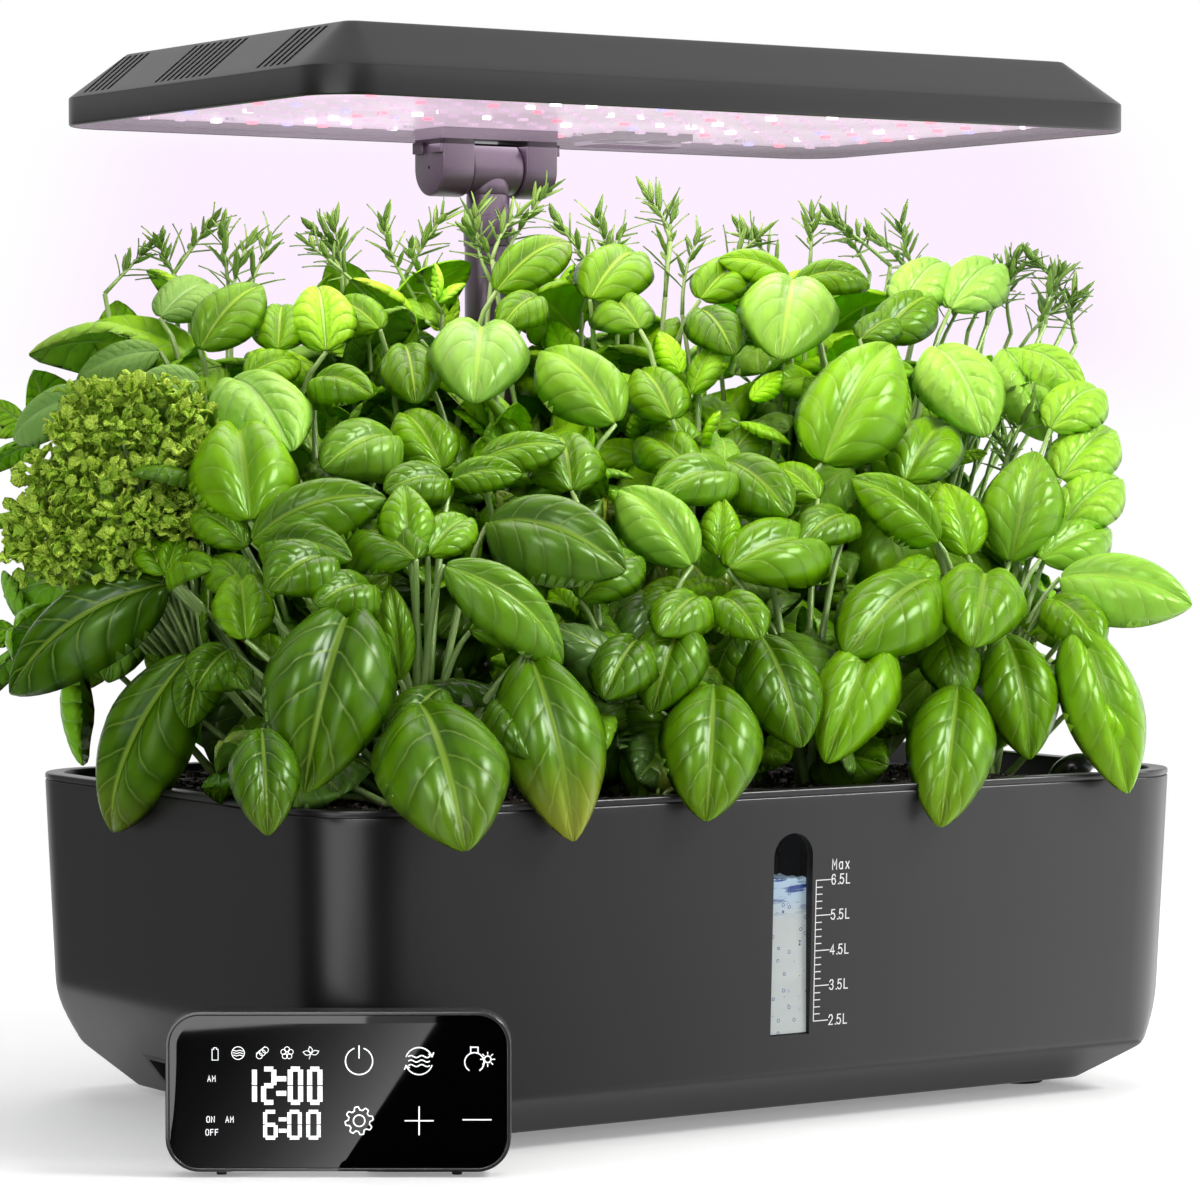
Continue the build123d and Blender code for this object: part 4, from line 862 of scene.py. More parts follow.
def water_surface():
    """Water behind the window: a box whose top is a sum of sines, in short waves."""
    columns, rows, depth = 40, 10, 16.0
    half = WINDOW_WIDTH / 2 - 0.3
    x = np.linspace(-half, half, columns)[None, :]
    y = np.linspace(0, depth, rows)[:, None]
    top = RIM - WATER_DROP + 0.35 * np.sin(x * 0.9 + y * 0.4) + 0.25 * np.sin(x * 1.9 - y * 0.9 + 1)
    wall = front_lean(RIM - 50) + 2.9
    points = np.stack(np.broadcast_arrays(x, wall + y, top), -1).reshape(-1, 3)
    base = points * [1, 1, 0] + [0, 0, RIM - WINDOW_LOW_DROP + 0.5]
    faces = [grid_faces(rows, columns), grid_faces(rows, columns)[:, ::-1] + rows * columns]
    edge = np.concatenate(
        [
            np.arange(columns),
            np.arange(1, rows) * columns + columns - 1,
            (rows - 1) * columns + np.arange(columns - 2, -1, -1),
            np.arange(rows - 2, 0, -1) * columns,
        ]
    )
    after = np.roll(edge, -1)
    total = rows * columns
    faces.append(np.stack([edge, after, after + total, edge + total], -1)[:, ::-1])
    return Surface().add(np.concatenate([points, base]), faces)


# ---------- lid and mast
def lid_surface():
    """Lid as one skin: under the tray, up the skirt, out under the flange, round its edge with the
    shadow seam, over the top, down the rim's inner wall and across the tray."""
    half_x, half_y = RIM_LENGTH / 2, RIM_DEPTH / 2
    tray_low = RIM - TRAY_DROP - TRAY_THICKNESS
    seam_low = RIM - FLANGE_THICKNESS
    edge = 0.7
    profile = [(40, tray_low), (4.4, tray_low), (4.2, tray_low + 0.3)]
    profile += [(4.2, SHELL_TOP - 0.6), (4.0, SHELL_TOP + 0.02)]
    profile += [(SEAM_DEPTH, SHELL_TOP + 0.02), (SEAM_DEPTH, seam_low), (0.15, seam_low), (0, seam_low + 0.2)]
    turn = np.radians(np.linspace(0, 90, 6))
    profile += [(edge * (1 - math.cos(t)), RIM - edge + edge * math.sin(t)) for t in turn]
    inner = FLANGE_WIDTH
    tray = RIM - TRAY_DROP
    profile += [(inner - 0.7, RIM), (inner - 0.2, RIM - 0.2), (inner, RIM - 0.7)]
    profile += [(inner + 0.3, tray + 1.5), (inner + 0.8, tray + 0.4), (inner + 2, tray), (40, tray)]
    return skin(plate_rings(half_x, half_y, RIM_CORNER, profile))


def soil_surface():
    """Soil bed: a rounded slab whose top grid is heaped by a sum of sines and seeded bumps."""
    low, high = BED_LOW, BED_HIGH
    half, middle = (high - low) / 2, (high + low) / 2
    rng = np.random.default_rng(7)
    rings = []
    shares = np.concatenate([[0.0], np.linspace(0.0, 1.0, 34)])
    base = rounded_ring(half[0], half[1], 15.0, 8, 44)
    for place, share in enumerate(shares):
        scale = 1 - share
        ring = level(base * scale, low[2] if place == 0 else high[2], middle[0], middle[1])
        if place > 0:
            x, y = ring[:, 0], ring[:, 1]
            heap = 0.5 * np.sin(x * 0.11 + 1.3 * np.sin(y * 0.07)) + 0.6 * np.sin(y * 0.13 + x * 0.05)
            ring[:, 2] += heap + rng.normal(0, 0.5, len(ring)) - (1.8 if place == 1 else 0)
            ring[:, :2] += rng.normal(0, 0.35, (len(ring), 2))
        rings.append(ring)
    return skin(rings)


def crumbs_surface(amount, seed, size):
    """Loose crumbs strewn over the soil: small eight-cornered lumps with their corners moved at random."""
    low, high = BED_LOW, BED_HIGH
    rng = np.random.default_rng(seed)
    centre = rng.uniform(low[0] + 6, high[0] - 6, amount), rng.uniform(low[1] + 5, high[1] - 5, amount)
    centre = np.stack(centre, -1)
    scale = rng.uniform(size[0], size[1], (amount, 1, 3)) / 2
    points = (BOX_CORNERS * 2.0 - 1) * scale * rng.uniform(0.55, 1.1, (amount, 8, 3))
    turn = rng.uniform(0, 2 * np.pi, amount)
    cos, sin = np.cos(turn)[:, None], np.sin(turn)[:, None]
    x, y = points[..., 0] * cos - points[..., 1] * sin, points[..., 0] * sin + points[..., 1] * cos
    points = np.stack([x + centre[:, :1], y + centre[:, 1:], points[..., 2] + high[2] + 0.4], -1)
    quads = BOX_FACES + 8 * np.arange(amount)[:, None, None]
    return Surface().add(points, [quads.reshape(-1, 4)])


# ---------- mast
NECK = span("neck_screw")[0][2] + 5.3


def mast_profiles():
    """Lathe profiles (radius, height) for the socket, outer tube, collar and inner tube."""
    tray = RIM - TRAY_DROP
    top = MAST_HIGH[2] + 1.5
    collar_low, collar_high = (corner[2] for corner in span("tube_collar"))
    socket = [(16.0, tray), (16.0, tray + 2.4), (15.4, tray + 3.0), (13.2, tray + 3.1), (12.0, tray + 4.2)]
    socket += [(11.4, tray + 6), (11.4, tray + 29.2), (10.9, tray + 30), (9.25, tray + 30)]
    tube = [(9.2, tray - 2), (9.2, MAST_HIGH[2] - 1.2), (9.1, MAST_HIGH[2] - 1.0)]
    collar = [(9.3, collar_low + 0.02), (9.62, collar_low + 0.35), (9.62, collar_high - 0.7)]
    collar += [(9.35, collar_high - 0.2), (8.9, collar_high), (8.55, collar_high - 0.05)]
    inner = [(8.45, top - 30), (8.5, top - 29.9), (8.5, NECK - 0.35), (8.25, NECK - 0.02)]
    return socket, tube, collar, inner


def knuckle_surface():
    """Hinge drum across the mast, its neck below with a domed shoulder, as two lathes that meet."""
    low, high = span("hinge_knuckle")
    width = (high[0] - low[0]) / 2
    x = (low[0] + high[0]) / 2
    edge = 0.8
    turn = np.radians(np.linspace(0, 90, 5))
    profile = [(2.6, -width), (10 - edge, -width)]
    profile += [(10 - edge + edge * math.sin(t), -width + edge - edge * math.cos(t)) for t in turn[1:]]
    profile += [(radius, -height) for radius, height in reversed(profile)]
    surface = lathe(profile, (x, PIN_MIDDLE[1], high[2] - 10.0), segments=64, axis="x")
    shoulder = [(8.2, NECK + 0.02), (8.5, NECK + 0.4), (8.5, NECK + 3.5)]
    turn = np.radians(np.linspace(0, 80, 7))
    shoulder += [(8.5 * math.cos(t), NECK + 3.5 + 8.0 * math.sin(t)) for t in turn[1:]]
    return lathe(shoulder, (x, MAST_MIDDLE[1], 0.0), surface, segments=48)


def cheek_rings(low_z, high_z, radius, x0, x1, edge=0.9):
    """One hinge cheek along x: a U outline (y, z) with a round foot, drawn in at both end faces."""
    turn = np.radians(np.linspace(180, 360, 25))
    foot = np.stack([radius * np.cos(turn), low_z + radius + radius * np.sin(turn)], -1)
    top = np.array([[radius, high_z], [0.0, high_z], [-radius, high_z]])
    outline = np.concatenate([foot, top])
    middle = np.array([0.0, (low_z + high_z) / 2])
    turn = np.radians(np.linspace(0, 90, 4))
    ends = [(edge * (1 - math.sin(t)), x0 + edge * (1 - math.cos(t))) for t in turn]
    ends += [(inset, x0 + x1 - x) for inset, x in reversed(ends)]
    half = np.array([radius, (high_z - low_z) / 2])
    rings = np.empty((len(ends), len(outline), 3))
    for ring, (inset, x) in zip(rings, ends):
        ring[:, 0] = x
        ring[:, 1:] = middle + (outline - middle) * (half - inset) / half
    return rings


def hinge_surface():
    """Lamp's hinge: two U cheeks, a bridge between them and a flange with screw seats above it."""
    low, high = span("hinge_bracket")
    x, y = PIN_MIDDLE[:2]
    knuckle_low, knuckle_high = span("hinge_knuckle")
    inner = (knuckle_high[0] - knuckle_low[0]) / 2 + 0.5
    outer = (PIN_HIGH[0] - PIN_LOW[0]) / 2
    lamp = LAMP_LOW[2]
    surface = Surface()
    for side in (-1, 1):
        ends = sorted((x + side * inner, x + side * outer))
        skin(cheek_rings(low[2], lamp + 2.2, 11.2, *ends) + [0, y, 0], surface)
        for hand in (-1, 1):
            boss = edge_profile(lamp - 5.4, lamp - 1.0, 0.3)
            skin(plate_rings(0.95, 3.75, 0.4, boss, x + side * (outer + 0.4), y + hand * 6.8), surface)
    block(surface, (x - outer, y - 11.1, lamp), (x + outer, y + 11.1, lamp + 13.4))
    block(surface, (low[0], y - 11.1, lamp + 10), (high[0], y + 11.1, lamp + 13.5))
    return surface


def hinge_pin_surface():
    """Hinge pin with a domed head at each end."""
    half = (PIN_HIGH[0] - PIN_LOW[0]) / 2
    head = [(0.6, -half), (2.6, -half + 0.05), (3.7, -half + 0.4), (4.2, -half + 1.0), (4.2, -half + 2.2)]
    head += [(2.5, -half + 2.2)]
    profile = [*head, *[(radius, -place) for radius, place in reversed(head)]]
    return lathe(profile, PIN_MIDDLE, axis="x", segments=32)


# ---------- lamp
def lamp_ring(inset_x, inset_y, corner, height):
    """One level of the lamp's outline."""
    half = (LAMP_HIGH - LAMP_LOW)[:2] / 2
    ring = rounded_ring(half[0] - inset_x, half[1] - inset_y, corner, 14, 30)
    return level(ring, height, *LAMP_MIDDLE[:2])


def lamp_surface():
    """Housing as one skin: down the hollow from its ceiling, round the board's ledge and the lens's
    lip, up the rounded lower edge and the band, over the crease, up the slopes and across the top.

    On the slopes the outline shrinks straight with height and its corner radius turns from the
    band's to the top's.
    """
    low, high = LAMP_LOW[2], LAMP_HIGH[2]
    crease = low + LAMP_BAND
    ledge_low, ledge_high = low + LENS_THICKNESS, low + LENS_THICKNESS + 2.5
    wall, lip, ledge = LAMP_WALL, LENS_LIP, LENS_LIP + 5.0

    def slope(share, inset, height_shift=0.0):
        corner = LAMP_CORNER + (LAMP_TOP_CORNER - LAMP_CORNER) * share - inset * (1 - share)
        height = crease + (high - crease) * share + height_shift
        return lamp_ring(LAMP_SLOPE_X * share + inset, LAMP_SLOPE_Y * share + inset, corner, height)

    rings = [lamp_ring(LAMP_SLOPE_X + 6, LAMP_SLOPE_Y + 6, 3.0, high - wall)]
    rings += [slope(0.86, wall), slope(0.5, wall), slope(0.0, wall)]
    section = [(wall, ledge_high + 1), (wall, ledge_high), (ledge, ledge_high), (ledge, ledge_low)]
    section += [(lip, ledge_low), (lip, low + 0.3), (lip - 0.3, low)]
    section += [(1 - math.sin(t), low + (1 - math.cos(t))) for t in np.radians(np.linspace(0, 90, 5))]
    rings += [lamp_ring(inset, inset, LAMP_CORNER - inset, height) for inset, height in section]
    rings += [lamp_ring(0, 0, LAMP_CORNER, crease - 0.9), lamp_ring(0.02, 0.02, LAMP_CORNER, crease - 0.45)]
    rings += [slope(share, 0.0, shift) for share, shift in ((0.0, -0.12), (0.02, -0.05), (0.045, 0.0))]
    rings += [slope(share, 0.0) for share in (0.2, 0.4, 0.6, 0.8, 0.95)]
    rings += [slope(0.985, 0.0, -0.08), slope(1.0, 0.6, -0.12)]
    rings += [slope(1.0, 1.6, 0.0), slope(1.0, 5.0, 0.0)]
    return skin(rings)


def vent_cutters():
    """Slots across both end slopes: boxes square to the slope, at each vent's depth."""
    surface = Surface()
    crease, high = LAMP_LOW[2] + LAMP_BAND, LAMP_HIGH[2]
    length = math.hypot(LAMP_SLOPE_X, high - crease)
    half = length / 2 - VENT_END_GAP
    for end in (-1, 1):
        middle_x = (LAMP_HIGH[0] if end > 0 else LAMP_LOW[0]) - end * LAMP_SLOPE_X / 2
        outwards = np.array([end * (high - crease), 0, LAMP_SLOPE_X]) / length
        across = np.array([0.0, 1.0, 0.0])
        up = np.cross(outwards, across)
        for group_middle, count in VENT_GROUPS:
            for place in range(count):
                y = group_middle + (place - (count - 1) / 2) * VENT_PITCH
                turn = np.eye(4)
                turn[:3, :3] = np.stack([across, up, outwards], -1)
                turn[:3, 3] = (middle_x, y, (crease + high) / 2)
                block(surface, (-VENT_SLOT / 2, -half, -2.9), (VENT_SLOT / 2, half, 2.9), turn)
    return surface


def lens_surface():
    """Clear lens: a flat plate with rounded edges inside the housing's lip."""
    low = LAMP_LOW[2]
    half = (LAMP_HIGH - LAMP_LOW)[:2] / 2 - LENS_LIP - 0.05
    profile = edge_profile(low + 0.1, low + LENS_THICKNESS, 0.35)
    return skin(plate_rings(half[0], half[1], LAMP_CORNER - LENS_LIP, profile, *LAMP_MIDDLE[:2]))


def lens_cutters():
    """Room in the lens for the hinge, and the air slot under the fan."""
    low = LAMP_LOW[2]
    y = PIN_MIDDLE[1]
    room = block(Surface(), (PIN_LOW[0] - 0.1, y - 11.3, low - 3), (PIN_HIGH[0] + 0.1, y + 11.3, low + 6))
    fan_low, fan_high = span("fan_rotor")
    x, y = (fan_low[:2] + fan_high[:2]) / 2
    return skin(plate_rings(20.5, 10.5, 4.0, [(0, low - 3), (0, low + 6)], x, y + 3.5), room)


# ---------- console
CONSOLE_TURNED = Matrix.Rotation(-math.radians(CONSOLE_TURN), 3, "Z")
CONSOLE_WIDTH, CONSOLE_HEIGHT, CONSOLE_CORNER = 114.5, 53.4, 11.3
CONSOLE_RIM_DEPTH, CONSOLE_DEPTH = 3.0, 12.5
CONSOLE_PLACE = np.array([-187.6412, -120.818, 0.0])


def to_console(points):
    """Points (x across, y into the console, z up from the floor) turned and moved to where it stands."""
    turn = np.array(CONSOLE_TURNED)
    return np.asarray(points, float) @ turn.T + CONSOLE_PLACE


def console_rings(profile):
    """Rings of the console's outline for (inset, depth) pairs, from front to back."""
    centre = CONSOLE_RAISE + CONSOLE_HEIGHT / 2
    rings = []
    for inset, depth in profile:
        half_x, half_y = CONSOLE_WIDTH / 2 - inset, CONSOLE_HEIGHT / 2 - inset
        outline = rounded_ring(half_x, half_y, max(CONSOLE_CORNER - inset, 0.5), 14, 8)[::-1]
        rings.append(to_console(np.insert(outline + [0, centre], 1, depth, axis=1)))
    return np.array(rings)


def console_rim_surface():
    """Console's frame: a ring whose section is rounded at the front, inside and outside."""
    profile = [(1.35, CONSOLE_RIM_DEPTH), (1.35, 0.35), (1.2, 0.08), (1.0, 0.0), (0.75, 0.06), (0.55, 0.12)]
    profile += [(0.35, 0.12), (0.15, 0.25)]
    profile += [(0.0, 0.6), (0.0, CONSOLE_RIM_DEPTH - 0.25), (0.2, CONSOLE_RIM_DEPTH - 0.02)]
    rings = console_rings([*profile, profile[0]])
    return Surface().add(rings, [grid_faces(*rings.shape[:2], wrap=True)])


def console_shell_surface():
    """Console's back shell with a rounded rear edge."""
    start, stop, edge = CONSOLE_RIM_DEPTH + 0.02, CONSOLE_DEPTH, 2.4
    turn = np.radians(np.linspace(0, 90, 7))
    profile = [(1.8, start), (0.25, start), (0.0, start + 0.25)]
    profile += [(edge * (1 - math.cos(t)), stop - edge + edge * math.sin(t)) for t in turn]
    profile += [(edge + 3, stop)]
    return skin(console_rings(profile))


def console_glass_surface():
    """Console's glass: a flat plate set just below the frame's front edge."""
    profile = [(4.0, 0.3), (1.8, 0.3), (1.45, 0.4), (1.42, 0.6), (1.42, 1.85), (4.0, 1.9)]
    return skin(console_rings(profile))


def on_glass(flat, lift):
    """Points (x, z) on the console's face, from its middle, laid on the glass, lift in front of it."""
    flat = np.asarray(flat, float)
    centre = CONSOLE_RAISE + CONSOLE_HEIGHT / 2
    return to_console(np.stack([flat[:, 0], np.full(len(flat), 0.29 - lift), centre + flat[:, 1]], -1))


SIGN_SCALE = CONSOLE_WIDTH / 346.0
SIGN_MIDDLE = (338.0, 1090.0)


def sign_point(u, v):
    """Face position in millimetres from the console's middle for a layout position."""
    return ((u - SIGN_MIDDLE[0]) * SIGN_SCALE, (SIGN_MIDDLE[1] - v) * SIGN_SCALE)


def arc_path(centre, radius, start, stop, steps=24):
    """Arc as a polyline: centre + r (cos t, sin t), t in degrees from start to stop."""
    turn = np.radians(np.linspace(start, stop, steps + 1))
    return np.stack([centre[0] + radius * np.cos(turn), centre[1] + radius * np.sin(turn)], -1)


DIGIT_BARS = {"0": "abcdef", "1": "bc", "2": "abged", "6": "afgedc"}


def add_digit(surface, digit, left, low, width, height, stroke):
    """Seven bar digit; each bar is a stroke a little short of the corners."""
    gap = stroke * 0.62
    x0, x1, z0, z1 = left, left + width, low, low + height
    zm = (z0 + z1) / 2
    bars = {
        "a": ((x0 + gap, z1), (x1 - gap, z1)),
        "b": ((x1, zm + gap), (x1, z1 - gap)),
        "c": ((x1, z0 + gap), (x1, zm - gap)),
        "d": ((x0 + gap, z0), (x1 - gap, z0)),
        "e": ((x0, z0 + gap), (x0, zm - gap)),
        "f": ((x0, zm + gap), (x0, z1 - gap)),
        "g": ((x0 + gap, zm), (x1 - gap, zm)),
    }
    for bar in DIGIT_BARS[digit]:
        add_stroke(surface, bars[bar], stroke, on_glass, 0.04)


def display_surface():
    """Clock and timer digits, and the words beside them."""
    surface = Surface()
    for text, left, right, top, low in (("12:00", 239, 324, 1064.5, 1103), ("6:00", 261, 323, 1108, 1138)):
        (x0, z1), (x1, z0) = sign_point(left, top), sign_point(right, low)
        stroke = (z1 - z0) * 0.13
        digits = len(text) - 1
        colon = (x1 - x0) * 0.085
        pitch = (x1 - x0 - colon) / digits
        width = pitch * 0.66 - stroke * 0.5
        x = x0
        for letter in text:
            if letter == ":":
                for share in (0.3, 0.68):
                    z = z0 + (z1 - z0) * share
                    dot = [(x + colon * 0.1, z), (x + colon * 0.1 + stroke, z)]
                    add_stroke(surface, dot, stroke, on_glass, 0.04)
                x += colon
            else:
                add_digit(surface, letter, x + stroke, z0 + stroke / 2, width, z1 - z0 - stroke, stroke)
                x += pitch
    words = (("AM", 207.5, 1079.5), ("ON", 206.5, 1120.5), ("AM", 225.5, 1120.5), ("OFF", 205.5, 1133.5))
    for word, u, v in words:
        add_word(surface, word, sign_point(u, v), 1.9, 0.27, on_glass, 0.04)
    return surface


def signs_surface():
    """Touch signs and the small row of state signs, all from straight strokes and arcs."""
    surface = Surface()

    def sketch(u, v, paths, width=0.42):
        x, z = sign_point(u, v)
        for path in paths:
            add_stroke(surface, np.asarray(path, float) + (x, z), width, on_glass, 0.04)

    sketch(359, 1059, [arc_path((0, 0), 4.5, 112, 428, 40), [(0, 1.0), (0, 5.0)]])
    wave = np.linspace(-1, 1, 15)
    waves = [np.stack([wave * 3.4, z + 0.35 * np.sin(wave * 6)], -1) for z in (-1.5, 0.0, 1.5)]
    sketch(419, 1059, [*waves, arc_path((0, 0), 4.5, 20, 160, 24), arc_path((0, 0), 4.5, 200, 340, 24)])
    sketch(419, 1059, [[(3.3, 2.2), (4.3, 1.5), (4.8, 2.7)], [(-3.3, -2.2), (-4.3, -1.5), (-4.8, -2.7)]])
    base = [[(-2.4, 2.6), (-2.4, 4.6)], [(0.0, 2.6), (0.0, 4.6)], [(-2.4, 4.6), (0.0, 4.6)]]
    sketch(478, 1059, [arc_path((-1.2, -0.4), 3.2, -55, 235, 28), *base])
    sketch(478, 1059, [arc_path((3.2, 0.6), 1.1, 0, 360, 16)])
    around = arc_path((0, 0), 1, 0, 315, 7)
    rays = [[(3.2 + 1.7 * c, 0.6 + 1.7 * s), (3.2 + 2.3 * c, 0.6 + 2.3 * s)] for c, s in around]
    sketch(478, 1059, rays, 0.35)
    turn = np.linspace(0, 2 * np.pi, 97)
    cog = 4.1 + 0.55 * np.tanh(3 * np.sin(8 * turn))
    cog = np.stack([cog * np.cos(turn), cog * np.sin(turn)], -1)
    sketch(359, 1119, [cog, arc_path((0, 0), 1.9, 0, 360, 24)])
    sketch(419, 1119, [[(-4.6, 0), (4.6, 0)], [(0, -4.6), (0, 4.6)]])
    sketch(477, 1118, [[(-4.6, 0), (4.6, 0)]])
    thin = 0.26
    cell = [(-1.0, -2.0), (1.0, -2.0), (1.0, 1.6), (0.45, 1.6), (0.45, 2.1), (-0.45, 2.1), (-0.45, 1.6)]
    sketch(215, 1052, [[*cell, (-1.0, 1.6), (-1.0, -2.0)]], thin)
    small = np.linspace(-1, 1, 9) * 1.6
    rows = [np.stack([small, z + 0.15 * np.sin(small * 3)], -1) for z in (-0.8, 0.0, 0.8)]
    sketch(238, 1051, [arc_path((0, 0), 2.1, 0, 360, 24), *rows], thin)
    beans = [arc_path((x, z), 1.0, 0, 360, 14) for x, z in ((-0.9, -0.9), (0.1, 0.1), (1.1, 1.0))]
    sketch(262, 1051, [*beans, [(-1.9, -0.1), (0.9, 2.1)]], thin)
    petals = [arc_path((1.25 * c, 1.25 * s), 0.85, 0, 360, 14) for c, s in arc_path((0, 0), 1, 18, 306, 4)]
    sketch(287, 1051, [*petals, arc_path((0, 0), 0.5, 0, 360, 10)], thin)
    bow = np.linspace(0, np.pi, 11)

    def leaf_sign(angle, reach, start):
        along = np.linspace(0, reach, 11)
        out = np.stack([along, 0.28 * reach * np.sin(bow)], -1)
        back = np.stack([along, -0.28 * reach * np.sin(bow)], -1)[::-1]
        c, s = math.cos(math.radians(angle)), math.sin(math.radians(angle))
        return np.concatenate([out, back]) @ np.array([[c, s], [-s, c]]) + start

    leaves = ((20, 2.6, (0.1, -0.3)), (100, 2.2, (0.0, 0.0)), (165, 2.6, (-0.1, -0.3)))
    sketch(311, 1051, [*(leaf_sign(*leaf) for leaf in leaves), [(0, 0), (-0.6, -1.9)]], thin)
    return surface


def cap_surface():
    """Refill cap turned in one piece: spigot, flange, skirt and dome."""
    low, high = CAP_LOW, CAP_HIGH
    tray = RIM - TRAY_DROP
    profile = [(9.5, low[2]), (10.0, low[2] + 0.4)]
    rise = (0.8, 0.8, 1.0, 2.0, 2.3, 2.4, 2.7, 5.2)
    profile += [(r, tray + z) for r, z in zip((10.0, 14.2, 14.5, 14.5, 14.2, 12.7, 12.5, 12.5), rise)]
    ball = (12.5**2 + 10**2) / 20
    turn = np.linspace(math.asin(12.5 / ball), 0.03, 14)
    profile += [(ball * math.sin(t), high[2] - ball + ball * math.cos(t)) for t in turn]
    return lathe(profile, (*CAP_MIDDLE, 0.0), segments=56)


def feet_surface():
    """Four rubber feet, turned, with a rounded lower edge."""
    low, high = span("tank_feet")
    surface = Surface()
    for x in (low[0] + 8.5, high[0] - 8.5):
        for y in (low[1] + 8.5, high[1] - 8.5):
            lathe(rounded_post(8.5, low[2], high[2], 0.5), (x, y, 0.0), surface, 40)
    return surface


# ---------- plants
LEAF_LOW = np.array([-246.0, -146.0, RIM + 5.0])
LEAF_HIGH = np.array([235.0, 143.0, LAMP_LOW[2] - 7.0])
LEAST_LEAVES = 4
CAP_CLEAR = (CAP_HIGH[0] - CAP_LOW[0]) / 2 + 12.0
CAP_LIFTED = CAP_HIGH[2] + 26.0

